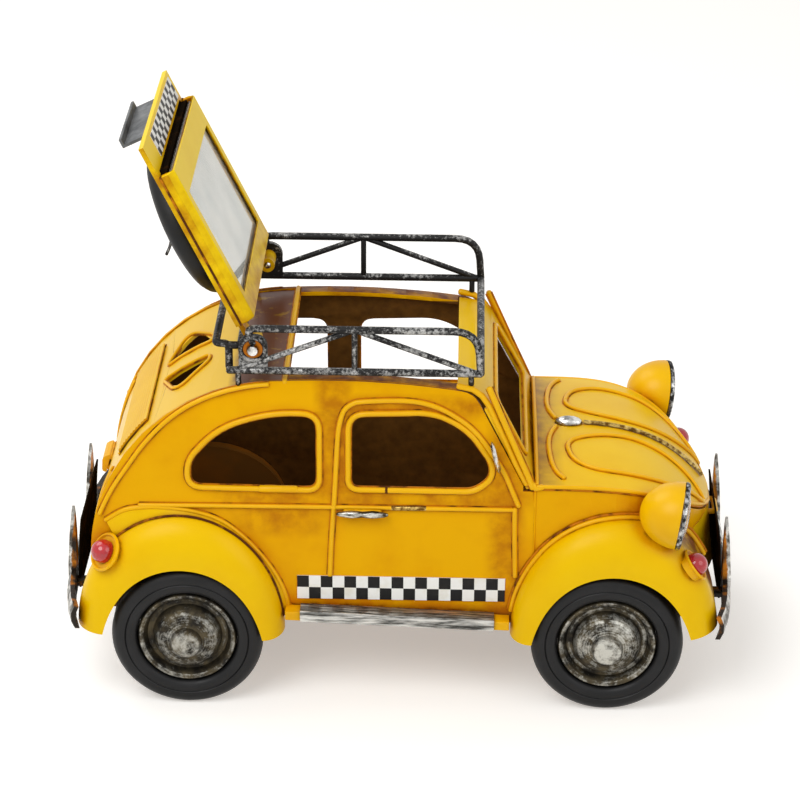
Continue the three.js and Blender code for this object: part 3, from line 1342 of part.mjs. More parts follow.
function tyreProfile(radius, width, bore) {
  const half = width / 2;
  const flank = radius - bore;
  return [
    [bore, -half + flank * 0.2], [bore + flank * 0.25, -half], [bore + flank * 0.7, -half],
    [radius, -half + flank * 0.28], [radius, half - flank * 0.28], [bore + flank * 0.7, half],
    [bore + flank * 0.25, half], [bore, half - flank * 0.2], [bore, -half + flank * 0.2],
  ];
}

function flatRadius(radius) {
  return radius / Math.cos(Math.PI / WHEEL_SIDES);
}

function spareTyre() {
  const tyre = turned(tyreProfile(SPARE_DIAMETER / 2, SPARE_WIDTH, SPARE_HUB_DIAMETER / 2), WHEEL_SIDES);
  return onLidOutside(tyre.translate(0, SPARE_WIDTH / 2, 0));
}

function spareWheel() {
  const seat = SPARE_HUB_DIAMETER / 2 - GAP;
  const wheel = turned([
    [0, 0], [seat * 0.9, 0], [seat, 2], [seat, SPARE_WIDTH - 3], [seat - 1.2, SPARE_WIDTH - 2.4],
    [seat - 2.4, SPARE_WIDTH - 4], [seat * 0.55, SPARE_WIDTH - 4.5], [seat * 0.3, SPARE_WIDTH - 2.5],
    [0, SPARE_WIDTH - 2.2],
  ], WHEEL_SIDES);
  return onLidOutside(wheel);
}

function roofSign() {
  const u = LID_TOP_U - SIGN_BELOW_TOP;
  const foot = LID_OUTER + GAP;
  const board = lidBox(u - SIGN_THICKNESS, u, SIGN_WIDTH / 2, foot, foot + SIGN_HEIGHT);
  const edge = foot + SIGN_HEIGHT;
  const lip = lidBox(u - SIGN_THICKNESS, u + SIGN_LIP, SIGN_WIDTH / 2, edge - SIGN_THICKNESS, edge);
  return join([board, lip]);
}

// Hinge pin: a rivet through the rack's lug into the lid's knuckle
function hingePin() {
  const lugOuter = RACK_HALF + RACK_WIRE / 2;
  const inner = KNUCKLE_OUTER - KNUCKLE_LENGTH;
  const r = PIN_DIAMETER / 2;
  const head = PIN_HEAD_DIAMETER / 2;
  const pin = turned([
    [0, inner], [r, inner], [r, lugOuter + GAP], [head, lugOuter + GAP],
    [head * 0.8, lugOuter + GAP + PIN_HEAD_THICKNESS * 0.7], [0, lugOuter + GAP + PIN_HEAD_THICKNESS],
  ], 12);
  pin.scale(1, -1, 1);
  return facingOut(pin).translate(HINGE_X, 0, HINGE_HEIGHT);
}

// Wheels and axles

function wheelDisc() {
  const face = TYRE_WIDTH / 2 - RIM_RECESS;
  const seat = flatRadius(RIM_DIAMETER / 2 - GAP);
  const cap = HUB_CAP_DIAMETER / 2;
  const bore = AXLE_DIAMETER / 2 + GAP;
  return turned([
    [0, face + HUB_HEIGHT], [cap, face + HUB_HEIGHT], [cap * 1.08, face + 2.4], [cap * 1.6, face + 2],
    [cap * 2.1, face], [cap * 2.3, face - 3], [seat - 2.6, face - 3], [seat - 1.6, face],
    [seat, face], [seat, -face], [bore, -face], [bore, 0], [0, 0],
  ], WHEEL_SIDES);
}

function axle() {
  const inner = WIDTH_OVER_TYRES / 2 - TYRE_WIDTH / 2 - GAP;
  return turned([
    [0, -inner], [AXLE_DIAMETER / 2, -inner], [AXLE_DIAMETER / 2, inner], [0, inner],
  ], AXLE_SIDES);
}

function wheelPlace(geometry, end, side) {
  const x = end === 'front' ? FRONT_AXLE_X : REAR_AXLE_X;
  const middle = (WIDTH_OVER_TYRES - TYRE_WIDTH) / 2;
  geometry.translate(0, middle, 0);
  const placed = side === 'right' ? mirrored(geometry) : geometry;
  return placed.translate(x, 0, AXLE_HEIGHT);
}

function tyre() {
  const radius = flatRadius(TYRE_DIAMETER / 2);
  const bore = flatRadius(RIM_DIAMETER / 2);
  return turned(tyreProfile(radius, TYRE_WIDTH, bore), WHEEL_SIDES);
}

// Assembly

add('floor_pan', floorPan(), yellow);
add('rear_skin', rearSkin(), yellow);
add('engine_lid', engineLid(), yellow);
add('plate_lamp', plateLamp(), yellow);
add('windscreen_frame', windscreenFrame(), yellow);
add('bonnet', bonnet(), yellow);
add('nose_shell', noseShell(), yellow);
add('bonnet_ornament', bonnetOrnament(), silver);
add('bonnet_spine', bonnetSpine(), agedSilver);
add('nose_handle', noseHandle(), yellow);
add('bumper_front', bumper('front'), silver);
add('bumper_rear', bumper('rear'), silver);
add('rack_front_bar', rackFrontBar(), blackWire);
add('rack_rear_frame', rackRearFrame(), blackWire);

for (const side of SIDES) {
  add(`side_panel_${side}`, onSide(side, sidePanel()), yellow);
  for (const end of ENDS) {
    add(`fender_${end}_${side}`, onSide(side, fender(end)), yellow);
  }
  add(`running_board_${side}`, onSide(side, runningBoard()), yellow);
  add(`tread_strip_${side}`, onSide(side, treadStrip()), silver);
  add(`headlamp_shell_${side}`, onSide(side, headlampShell()), yellow);
  add(`headlamp_rim_${side}`, onSide(side, headlampRim()), silver);
  add(`headlamp_lens_${side}`, onSide(side, headlampLens()), clear);
  const indicator = fenderLamp('front', FRONT_AXLE_X + INDICATOR_AHEAD, FENDER_HALF - INDICATOR_INSET);
  add(`front_indicator_${side}`, onSide(side, indicator), redLens);
  const besideBody = BODY_HALF + GAP + LAMP_BASE_DIAMETER / 2;
  const tailLamp = fenderLamp('rear', REAR_AXLE_X - TAIL_LAMP_BEHIND, besideBody);
  add(`tail_lamp_${side}`, onSide(side, tailLamp), redLens);
  add(`door_handle_${side}`, onSide(side, doorHandle()), agedSilver);
  add(`wing_mirror_${side}`, onSide(side, wingMirror()), silver);
  add(`rack_side_${side}`, onSide(side, rackSide()), blackWire);
  add(`hinge_pin_${side}`, onSide(side, hingePin()), silver);
}

add('lid_plate', lidPlate(), yellow, lid);
add('photo_frame', photoFrame(), yellow, lid);
add('photo_window', photoWindow(), clear, lid);
add('photo_card', photoCard(), paper, lid);
add('spare_tyre', spareTyre(), rubber, lid);
add('spare_wheel', spareWheel(), rubber, lid);
add('roof_sign', roofSign(), darkBoard, lid);

for (const end of ENDS) {
  const x = end === 'front' ? FRONT_AXLE_X : REAR_AXLE_X;
  add(`axle_${end}`, axle().translate(x, 0, AXLE_HEIGHT), agedSilver);
  for (const side of SIDES) {
    add(`tyre_${end}_${side}`, wheelPlace(tyre(), end, side), rubber);
    add(`wheel_${end}_${side}`, wheelPlace(wheelDisc(), end, side), agedSilver);
  }
}

export default car;
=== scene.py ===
import json
from collections import namedtuple
from math import acos, asin, atan2, ceil, copysign, cos, pi, radians, sin, sqrt, tan

import bmesh
import bpy
from mathutils import Matrix, Vector

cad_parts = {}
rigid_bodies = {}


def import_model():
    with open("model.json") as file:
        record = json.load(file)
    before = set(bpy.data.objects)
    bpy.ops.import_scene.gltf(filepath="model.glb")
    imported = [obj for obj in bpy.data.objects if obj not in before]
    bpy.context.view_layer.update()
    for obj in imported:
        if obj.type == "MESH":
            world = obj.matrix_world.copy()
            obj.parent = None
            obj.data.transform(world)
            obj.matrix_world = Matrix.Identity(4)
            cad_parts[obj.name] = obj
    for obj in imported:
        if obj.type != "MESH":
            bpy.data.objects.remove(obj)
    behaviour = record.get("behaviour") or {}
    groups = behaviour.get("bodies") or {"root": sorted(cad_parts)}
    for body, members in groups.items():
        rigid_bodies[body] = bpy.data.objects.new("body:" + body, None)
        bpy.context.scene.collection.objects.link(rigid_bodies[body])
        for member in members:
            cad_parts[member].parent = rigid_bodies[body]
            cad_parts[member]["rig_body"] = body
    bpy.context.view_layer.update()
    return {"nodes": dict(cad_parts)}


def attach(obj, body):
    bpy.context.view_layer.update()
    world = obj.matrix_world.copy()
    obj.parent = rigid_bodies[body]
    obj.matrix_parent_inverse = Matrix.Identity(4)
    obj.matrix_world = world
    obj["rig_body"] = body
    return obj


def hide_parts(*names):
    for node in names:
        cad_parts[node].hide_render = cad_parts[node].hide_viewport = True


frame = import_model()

MM = 0.001
SIDES = {"right": Matrix.Identity(4), "left": Matrix.Scale(-1, 4, (0, 1, 0))}
ENDS = {"front": 1, "rear": -1}

# Body shape, the same sizes as the CAD
BODY_HALF = 41.0
BELT_HEIGHT = 71.0
ROOF_HEIGHT = 114.3
ROOF_HALF = 37.5
PANEL_LEAN = atan2(BODY_HALF - ROOF_HALF, ROOF_HEIGHT - BELT_HEIGHT)
SHEET = 1.4
GAP = 0.3
AXLE_X = 69.0
AXLE_HEIGHT = 25.0
TAIL_CENTRE_X = -37.5
TAIL_CENTRE_HEIGHT = 50.8
TAIL_RADIUS = 63.0
SKIN_RADIUS = TAIL_RADIUS - SHEET / 2
COWL_X = 44.3
COWL_HEIGHT = 79.0
WINDSCREEN_RAKE = radians(27.4)
NOSE_X = 104.0
NOSE_HALF = 40.7
NOSE_POWER = 4
NOSE_ROOT = 0.625
BONNET_EDGE_HEIGHT = 79.4
BONNET_DROP = 23.0
BONNET_DROP_POWER = 3.6
BONNET_CROWN = 2.5
BONNET_INSET = 0.6

# Fenders
FENDER_AHEAD = 2.4
FENDER_HALF_LENGTH = 34.25
FENDER_FOOT_HEIGHT = 25.5
FENDER_TOP_HEIGHT = 67.6
FENDER_LIP_AHEAD = 1.5
FENDER_LIP_HALF_LENGTH = 24.6
FENDER_LIP_FLARE = 1.8
FENDER_LIP_TOP_HEIGHT = 51.3
FENDER_HALF = 51.0
FENDER_BULGE = 9.7
FENDER_INNER_HALF = 26.0
FENDER_FRONT_GAP = 3 * GAP
FENDER_BULGE_GAP = 0.2
PANEL_END_X = COWL_X + 2
FENDER_TIP_TURN = {"front": 0.12, "rear": 0.05}

# Bumpers
BUMPER_X = 111.0
BUMPER_FOOT_HEIGHT = 27.0
OVERRIDER_TOP_HEIGHT = 59.5
OVERRIDER_LEAN = 2.2
OVERRIDER_SLIM = 0.7
OVERRIDER_SLIM_FROM = 0.5

# Lid, drawn closed about its pin: u runs forward from the pin, z is outward
HINGE_X = -46.3
HINGE_HEIGHT = 125.3
LID_OPEN = radians(116)
LID_HALF = 36.0
LID_SLOT_U = 63.0

# Roof rack
RACK_HALF = 38.0
RACK_WIRE = 2.5
BRACE_WIRE = 1.9
RACK_LOWER_HEIGHT = 117.6
RACK_UPPER_HEIGHT = 132.2
RACK_FRONT_X = 26.0
RACK_REAR_X = -54.2
RACK_STRUT_X = (RACK_FRONT_X + RACK_REAR_X) / 2


# Shapes: each is a list of points and a list of faces


def lerp(a, b, share):
    return a + (b - a) * share


def between(low, high, steps):
    """Evenly spaced values from low to high."""
    return [lerp(low, high, k / steps) for k in range(steps + 1)]


def round_angles(sides):
    return [2 * pi * k / sides for k in range(sides)]


def turned(degrees, axis):
    return Matrix.Rotation(radians(degrees), 4, axis)


def side_view(point, y):
    """A flat point of the side view, set at a distance across the car."""
    return Vector((point[0], y, point[1]))


def loft(rings, caps=True):
    points = [point for ring in rings for point in ring]
    count = len(rings[0])
    faces = []
    for i in range(len(rings) - 1):
        for k in range(count):
            a = i * count + k
            b = i * count + (k + 1) % count
            faces.append((a, b, b + count, a + count))
    if caps:
        last = (len(rings) - 1) * count
        faces.append(tuple(range(count)))
        faces.append(tuple(last + k for k in range(count)))
    return points, faces


def joined(*shapes):
    points, faces = [], []
    for shape_points, shape_faces in shapes:
        start = len(points)
        points.extend(shape_points)
        faces.extend(tuple(start + index for index in face) for face in shape_faces)
    return points, faces


def two_coloured(first, second):
    """Two shapes as one, and which of two materials each face has."""
    return joined(first, second), [0] * len(first[1]) + [1] * len(second[1])


def moved(shape, matrix):
    points, faces = shape
    return [matrix @ Vector(p) for p in points], faces


def both_sides(half):
    """Points and then their mirror images in reverse, with the sign of the second number changed."""
    return half + [(point[0], -point[1], *point[2:]) for point in reversed(half)]


def directions(path, closed):
    """The way a path runs at each of its points."""
    last = len(path) - 1
    found = []
    for i in range(len(path)):
        after = path[0 if i == last else i + 1] if closed or i < last else path[i]
        before = path[i - 1] if closed or i > 0 else path[i]
        found.append((after - before).normalized())
    return found


# Rounding of a wire's end: share of the radius, and how far out in radii
WIRE_END = ((0.5, 0.6), (0.87, 0.35))


def tube(path, radius, closed=False, sides=10):
    """A round wire along a path, with rounded ends."""
    path = [Vector(p) for p in path]
    tangents = directions(path, closed)
    angles = round_angles(sides)
    side = tangents[0].orthogonal().normalized()
    places = []
    for centre, tangent in zip(path, tangents):
        side = (side - tangent * side.dot(tangent)).normalized()
        places.append((centre, tangent, side, tangent.cross(side)))

    def circle(place, scale=1.0, out=0.0):
        centre, tangent, side, up = place
        middle = centre + tangent * out * radius
        return [middle + (side * cos(a) + up * sin(a)) * radius * scale for a in angles]

    circles = [circle(place) for place in places]
    if closed:
        return loft(circles + circles[:1], caps=False)
    start = [circle(places[0], scale, -out) for scale, out in WIRE_END]
    end = [circle(places[-1], scale, out) for scale, out in reversed(WIRE_END)]
    return loft(start + circles + end)


BAND_OVER = 0.1
BAND_UNDER = 0.4


def band(path, normals, half, closed=False):
    """A thin flat ribbon along a path on a surface."""
    rings = []
    for point, tangent, normal in zip(path, directions(path, closed), normals):
        across = tangent.cross(normal).normalized() * half
        left, right = point + across, point - across
        over, under = normal * BAND_OVER, normal * -BAND_UNDER
        rings.append([left + over, right + over, right + under, left + under])
    if closed:
        return loft(rings + rings[:1], caps=False)
    return loft(rings)


def lathe(profile, sides=64):
    """A profile of (radius, height) pairs turned about +Y."""
    angles = round_angles(sides)
    rings = [[Vector((r * cos(a), height, r * sin(a))) for a in angles] for r, height in profile]
    return loft(rings, caps=False)


def thick(line, shift):
    """A ring round a line of points and the same line shifted."""
    return line + [point + shift for point in reversed(line)]


def plate(path, y_low, y_high):
    """A flat outline in the side view, given a thickness across the car."""
    return loft([[side_view(p, y) for p in path] for y in (y_low, y_high)])


def bent(corners, closed=False, steps=6):
    """A path through corners, flat or in space, each with the reach of its bend as its last number."""
    places = [Vector(corner[:-1]) for corner in corners]
    count = len(places)
    points = []
    for i, place in enumerate(places):
        if not closed and i in (0, count - 1):
            points.append(place)
            continue
        reach = corners[i][-1]
        start = place + (places[i - 1] - place).normalized() * reach
        end = place + (places[(i + 1) % count] - place).normalized() * reach
        for t in between(0, 1, steps):
            points.append(start * (1 - t) ** 2 + place * 2 * t * (1 - t) + end * t ** 2)
    return points


def outline(corners, outward, spacing):
    """A closed path round bent corners, moved outward, with its points at most the spacing apart."""
    path = bent(corners, closed=True)
    area = sum(a.x * b.y - b.x * a.y for a, b in zip(path, path[1:] + path[:1]))
    shift = copysign(outward, area)
    loop = []
    for i, point in enumerate(path):
        along = (path[(i + 1) % len(path)] - path[i - 1]).normalized()
        loop.append(point + Vector((along.y, -along.x)) * shift)
    points = []
    for a, b in zip(loop, loop[1:] + loop[:1]):
        steps = max(1, ceil((b - a).length / spacing))
        points += [a.lerp(b, k / steps) for k in range(steps)]
    return points


def curve(keys, closed=False, steps=6):
    """A smooth path through key points."""
    keys = [Vector(key) for key in keys]
    count = len(keys)

    def key(i):
        return keys[i % count if closed else min(max(i, 0), count - 1)]

    points = []
    for i in range(count if closed else count - 1):
        p0, p1, p2, p3 = (key(i + step) for step in (-1, 0, 1, 2))
        for t in between(0, 1, steps)[:-1]:
            points.append(0.5 * (
                2 * p1 + (p2 - p0) * t + (2 * p0 - 5 * p1 + 4 * p2 - p3) * t ** 2
                + (3 * p1 - p0 - 3 * p2 + p3) * t ** 3
            ))
    return points if closed else points + [keys[-1]]


# Surfaces that trim sits on


def panel_normal(z):
    lean = PANEL_LEAN if z > BELT_HEIGHT else 0.0
    return Vector((0, -cos(lean), sin(lean)))


def panel_point(x, z, proud=0.0):
    """A point on the side panel, which is upright below the belt and leans in above it."""
    foot = Vector((x, -BODY_HALF, min(z, BELT_HEIGHT)))
    leaning = Vector((0, sin(PANEL_LEAN), cos(PANEL_LEAN))) * max(0.0, z - BELT_HEIGHT)
    return foot + leaning + panel_normal(z) * proud


def glass_height(share):
    return lerp(BELT_HEIGHT, ROOF_HEIGHT, share)


def nose_share(x):
    return min(max((x - COWL_X) / (NOSE_X - COWL_X), 0.0), 1.0)


def nose_half(x):
    return NOSE_HALF * (1 - nose_share(x) ** NOSE_POWER) ** NOSE_ROOT


def bonnet_edge(x):
    return BONNET_EDGE_HEIGHT - BONNET_DROP * nose_share(x) ** BONNET_DROP_POWER


def bonnet_point(x, y):
    half = max(nose_half(x), 0.1)
    return Vector((x, y, bonnet_edge(x) + BONNET_CROWN * (1 - min(1.0, (y / half) ** 2))))


def slope(height, at, step):
    return (height(at + step) - height(at - step)) / (2 * step)


def bonnet_normal(x, y):
    along = slope(lambda near: bonnet_point(near, y).z, x, 0.1)
    across = slope(lambda near: bonnet_point(x, near).z, y, 0.1)
    return Vector((-along, -across, 1)).normalized()


def tail_normal(angle):
    return Vector((-cos(angle), 0, sin(angle)))


def tail_point(angle, y):
    return Vector((TAIL_CENTRE_X, y, TAIL_CENTRE_HEIGHT)) + tail_normal(angle) * SKIN_RADIUS


# Node materials

SOCKETS = {"Specular": "Specular IOR Level", "Coat": "Coat Weight", "Clear": "Transmission Weight"}


def srgb(red, green, blue):
    def linear(value):
        share = value / 255
        return share / 12.92 if share <= 0.04045 else ((share + 0.055) / 1.055) ** 2.4

    return (linear(red), linear(green), linear(blue), 1.0)


def put(tree, value, socket):
    if isinstance(value, Value):
        tree.links.new(value.socket, socket)
    else:
        socket.default_value = value


def new_node(tree, kind, output, inputs, **settings):
    """One output of a new node, with its inputs set or linked."""
    node = tree.nodes.new("ShaderNode" + kind)
    for name, setting in settings.items():
        setattr(node, name, setting)
    for name, value in inputs.items():
        put(tree, value, node.inputs[name])
    return Value(tree, node.outputs[output])


class Value:
    """What a node gives at each point of a surface."""

    def __init__(self, tree, socket):
        self.tree = tree
        self.socket = socket

    def worked(self, operation, other=0.0):
        return new_node(self.tree, "Math", "Value", {0: self, 1: other}, operation=operation)

    def __add__(self, other):
        return self.worked("ADD", other)

    def __sub__(self, other):
        return self.worked("SUBTRACT", other)

    def __mul__(self, other):
        return self.worked("MULTIPLY", other)

    def __lt__(self, limit):
        return self.worked("LESS_THAN", limit)

    def __gt__(self, limit):
        return self.worked("GREATER_THAN", limit)

    def __abs__(self):
        return self.worked("ABSOLUTE")

    def larger(self, other):
        return self.worked("MAXIMUM", other)

    def spread(self, low, high, to_low=0.0, to_high=1.0):
        """The range from low to high stretched over another, and held at its ends."""
        inputs = {"Value": self, "From Min": low, "From Max": high, "To Min": to_low, "To Max": to_high}
        return new_node(self.tree, "MapRange", "Result", inputs)


class Finish:
    """A material being built. Lengths are millimetres."""

    def __init__(self, name, slot="body_paint"):
        self.material = bpy.data.materials.new(name)
        self.material.use_nodes = True
        self.tree = self.material.node_tree

    def node(self, kind, output, inputs, **settings):
        return new_node(self.tree, kind, output, inputs, **settings)

    def point(self, along=1.0):
        """The place on the piece, drawn out along the car where asked."""
        place = self.node("TexCoord", "Object", {})
        return self.node("Mapping", "Vector", {"Vector": place, "Scale": (1 / (along * MM), 1 / MM, 1 / MM)})

    def place(self):
        """Distances along the car, across it and up."""
        return [self.node("SeparateXYZ", axis, {"Vector": self.point()}) for axis in "XYZ"]

    def normal(self):
        facing = self.node("TexCoord", "Normal", {})
        return [self.node("SeparateXYZ", axis, {"Vector": facing}) for axis in "XYZ"]

    def noise(self, size, detail=4.0, roughness=0.55, along=1.0):
        """Blotches of about the given size."""
        inputs = {"Vector": self.point(along), "Scale": 1 / size, "Detail": detail, "Roughness": roughness}
        return self.node("TexNoise", "Fac", inputs)

    def rings(self, distance, width):
        """Light and dark rings of about the given width, by distance from an axis."""
        inputs = {"W": distance, "Scale": 1 / width, "Detail": 3.0}
        return self.node("TexNoise", "Fac", inputs, noise_dimensions="1D")

    def mix(self, share, a, b):
        return self.node("MixRGB", "Color", {"Fac": share, "Color1": a, "Color2": b})

    def hollow(self, reach, open_from=0.95, open_to=0.5):
        """One in corners and recesses within the reach, zero on open faces."""
        light = self.node("AmbientOcclusion", "AO", {"Distance": reach * MM}, samples=8)
        return light.spread(open_from, open_to)

    def bump(self, height, depth, strength):
        return self.node("Bump", "Normal", {"Height": height, "Distance": depth * MM, "Strength": strength})

    def done(self, colour, worn, roughness, **settings):
        """The material, with its roughness between two values by how worn it is."""
        settings["Base Color"] = colour
        settings["Roughness"] = worn.spread(0, 1, *roughness)
        for name, value in settings.items():
            put(self.tree, value, self.tree.nodes["Principled BSDF"].inputs[SOCKETS.get(name, name)])
        return self.material


def length(a, b):
    return (a * a + b * b).worked("SQRT")


def strip(value, middle, half, fade):
    """One within half a width of the middle, fading to zero beside it."""
    return abs(value - middle).spread(half + fade, half)


# Enamel, where it is worn, and the shade painted into its corners

# Wash and grime colours, also laid in corners and recesses as painted shade
WASH_AND_SHADE_ORANGE = srgb(198, 112, 0)
WASH_BROWN = srgb(172, 92, 6)
GRIME_AND_SHADE_BROWN = srgb(92, 44, 4)
INSIDE_BROWN = srgb(134, 90, 38)
INSIDE_DARK = srgb(70, 46, 22)
SMUDGE_AND_SHADE_BROWN = srgb(110, 62, 34)
FACING_IN = -5.0
PANEL_RIM = 2.5


def enamel(name, clean, wash=0.6, grime_and_shade=0.85, sheen=0.15, reach=5, inside=None, smudge_and_shade=None, bands=None):
    """Orange wash in blotches, brown grime and painted shade in corners, and worn where the masks are one,
    the front fenders' mask painting shade as well.
    """
    finish = Finish(name)
    blotch = finish.noise(26, 5).spread(0.46, 0.74, 0, wash)
    speck = finish.noise(3.5, 3)
    uneven = finish.noise(9, 4).spread(0.35, 0.62, grime_and_shade * 0.35, grime_and_shade)
    # Orange wash in blotches, and orange painted shade in corners and recesses within the reach
    coat = finish.mix(blotch.larger(finish.hollow(reach, 0.97, 0.55) * uneven), clean, WASH_AND_SHADE_ORANGE)
    if bands:
        patchy = finish.noise(7, 6, 0.6).spread(0.34, 0.66, 0.1, 0.75)
        coat = finish.mix(bands(finish) * patchy, coat, WASH_BROWN)
    # Brown in tight corners: grime, and painted shade
    dirt_and_shade = finish.hollow(1.8, 0.8, 0.4) * speck.spread(0.44, 0.66, grime_and_shade * 0.12, grime_and_shade)
    coat = finish.mix(dirt_and_shade, coat, GRIME_AND_SHADE_BROWN)
    # Brown smudges where a mask is one, with painted shade in the front fenders' valleys by the nose
    if smudge_and_shade:
        ragged = finish.noise(5, 5).spread(0.3, 0.7, 0.5, 1.2)
        coat = finish.mix((smudge_and_shade(finish) * ragged).spread(0, 1), coat, SMUDGE_AND_SHADE_BROWN)
    if inside:
        coat = finish.mix(inside(finish), coat, finish.mix(speck, INSIDE_BROWN, INSIDE_DARK))
    dents = finish.bump(finish.noise(9, 3), 0.12, 0.5)
    return finish.done(coat, dirt_and_shade + blotch, (0.3, 0.6), Specular=sheen, Normal=dents)


def tail_depth(finish):
    """Distance from the tail's centre line, or height over it ahead of that."""
    x, _, z = finish.place()
    behind = (x - TAIL_CENTRE_X).worked("MINIMUM", 0.0)
    return length(behind, z - TAIL_CENTRE_HEIGHT)


def faces_middle(finish):
    """One on the faces of a side panel that look at the car's middle plane, short of its rim."""
    toward = finish.place()[1] * finish.normal()[1]
    return (toward < FACING_IN) * (tail_depth(finish) < TAIL_RADIUS - PANEL_RIM)


def faces_cabin(finish):
    """One on the faces of the rear skin that look into the cabin."""
    x, _, z = finish.place()
    along, _, up = finish.normal()
    return (x - TAIL_CENTRE_X) * along + (z - TAIL_CENTRE_HEIGHT) * up < FACING_IN


def panel_bands(finish):
    """One along the worn bands of a side panel."""
    x, _, z = finish.place()
    under_windows = strip(z, 74.5, 1.5, 4) * strip(x, -8, 44, 12)
    door_post = strip(x, -21, 3, 4) * z.spread(69, 72)
    front_pillar = strip(x, 35, 2.5, 5)
    over_door = strip(z, 105.5, 1, 4) * strip(x, 4, 24, 8)
    behind_door = strip(z, 66, 3, 5) * strip(x, -38, 8, 10)
    return under_windows.larger(door_post).larger(front_pillar).larger(over_door).larger(behind_door)


def panel_wear(finish):
    """Brown along the sill, and on the worn top of the roof flange."""
    z = finish.place()[2]
    sill = z.spread(35, 31, 0, 0.5)
    flange = (finish.normal()[2] > 0.6) * z.spread(104, 110)
    return sill.larger(flange)


def fender_flank_grime_and_shade(finish):
    """One on the inner flanks of the front fenders, beside the nose, where grime and painted shade darken
    the valley.
    """
    x, y, _ = finish.place()
    return abs(y).spread(43.5, 38.5) * (x > 85)


def lid_bands(finish):
    """One on the lid's side edges and towards its foot."""
    edges = abs(finish.normal()[1]).spread(0.6, 0.8)
    foot = finish.place()[2].spread(152, 136, 0, 0.9)
    return edges.larger(foot)


def tail_wear(finish):
    """Brown on the roof's rear strip, from just behind the hinge forward."""
    return finish.place()[0].spread(-55, -51, 0, 1.4)


def cowl_wear(finish):
    """A brown smudge along the cowl."""
    return finish.place()[0].spread(54, 45, 0, 0.75)


# Metals

# Near black for the painted shade in metal's corners
CORNER_SHADE_BLACK = srgb(26, 22, 17)
CHROME_WRAP = 1.1
CHROME_FADE = 0.3


def metal(name, slot, dark, light, size, low, high, roughness, metallic, corner=0.7, along=1.0):
    """Worn metal: a dark ground with lighter rubbed patches, darkened again in corners as painted shade."""
    finish = Finish(name, slot)
    rubbed = finish.noise(size, 5, 0.65, along).spread(low, high)
    # Painted shade: near black in corners, as far as the corner share goes
    coat = finish.mix(finish.hollow(2.5) * corner, finish.mix(rubbed, dark, light), CORNER_SHADE_BLACK)
    grain = finish.bump(finish.noise(size * 0.6, 3), 0.08, 0.5)
    return finish.done(coat, rubbed, (roughness + 0.15, roughness - 0.05), Metallic=metallic, Normal=grain)


def bumper_metal():
    """Dull chrome on the outward face and round its edge, orange and dark brown paint behind."""
    finish = Finish("bumper_metal", "bright_metal")
    x, _, z = finish.place()
    rubbed = finish.noise(4, 5, 0.65).spread(0.4, 0.62)
    chrome = finish.mix(rubbed, srgb(86, 82, 76), srgb(206, 205, 200))
    low = z.spread(40, 34, -0.05, 0.16)
    paint = finish.mix((finish.noise(6, 5) + low).spread(0.36, 0.56), srgb(206, 124, 8), srgb(34, 26, 18))
    rise = z.spread(BUMPER_FOOT_HEIGHT, OVERRIDER_TOP_HEIGHT)
    ragged = finish.noise(3, 4).spread(0.3, 0.7, 0.4, -0.4)
    out = abs(x) + rise * rise * OVERRIDER_LEAN + ragged
    rim = out.spread(BUMPER_X - CHROME_WRAP - CHROME_FADE, BUMPER_X - CHROME_WRAP)
    face = (finish.normal()[0] * x.worked("SIGN")).spread(0.45, 0.6).larger(rim)
    dents = finish.bump(finish.noise(2.5, 3), 0.1, 0.5)
    colour = finish.mix(face, paint, chrome)
    return finish.done(colour, rubbed, (0.5, 0.25), Metallic=face, Specular=0.2, Normal=dents)


def wheel_metal(end, silver_and_light, dish_light_and_shade):
    """Blackened metal with silver rubbed on in patches and broken rings, brightest on the hub cap, with
    painted shade in its recesses, and painted lighter on the front wheels than on the rear.
    """
    finish = Finish(f"wheel_metal_{end}", "aged_metal")
    x, _, z = finish.place()
    distance = length(abs(x) - AXLE_X, z - AXLE_HEIGHT)
    scratch = finish.noise(1.8, 6, 0.8) * 0.72
    ring = finish.rings(distance, 0.8) * 0.28
    patch = finish.noise(7, 3).spread(0.35, 0.65, -0.12, 0.08)
    cap = distance.spread(5.0, 4.4, 0, 0.09)
    # The dish is painted lighter on the front wheels and darker on the rear, as painted light and shade
    dish = distance.spread(9.4, 10.6) - distance.spread(13.8, 14.6)
    rubbed = scratch + ring + patch + cap + dish * dish_light_and_shade
    # Less silver in the recesses: painted shade
    bright = (rubbed.spread(0.44, 0.66, 0, silver_and_light) - finish.hollow(5, 0.9, 0.4) * 0.5).spread(0, 1)
    bronze = finish.mix(finish.noise(5, 4).spread(0.4, 0.62), srgb(36, 33, 28), srgb(84, 75, 56))
    colour = finish.mix(bright, bronze, srgb(214, 213, 204))
    return finish.done(colour, bright, (0.52, 0.36), Metallic=0.8, Normal=finish.bump(scratch, 0.3, 0.6))


def dry_brushed():
    """Black wire with silver brushed thinly over it, more on its upper and outer sides, which also stands as
    a painted highlight.
    """
    finish = Finish("black_wire", "black_wire")
    _, across, up = finish.normal()
    # More silver on upper and outer sides: dry brushing and a painted highlight
    raised_and_lit = up.larger(across * finish.place()[1].worked("SIGN"))
    patch = finish.noise(13, 3).spread(0.35, 0.65, -0.1, 0.09)
    brushed = finish.noise(1.2, 6, 0.75) + patch + raised_and_lit.spread(-0.5, 1, -0.16, 0.04)
    silver = brushed.spread(0.5, 0.68, 0, 0.85)
    colour = finish.mix(silver, srgb(25, 24, 24), srgb(190, 189, 186))
    grain = finish.bump(finish.noise(1.6, 4), 0.12, 0.6)
    return finish.done(colour, silver, (0.5, 0.36), Metallic=0.6, Normal=grain)


# Other materials


def mottled(name, slot, clean, worn, size, detail, low, high, roughness, **settings):
    """Two colours in soft patches."""
    finish = Finish(name, slot)
    patch = finish.noise(size, detail).spread(low, high)
    return finish.done(finish.mix(patch, clean, worn), patch, roughness, **settings)


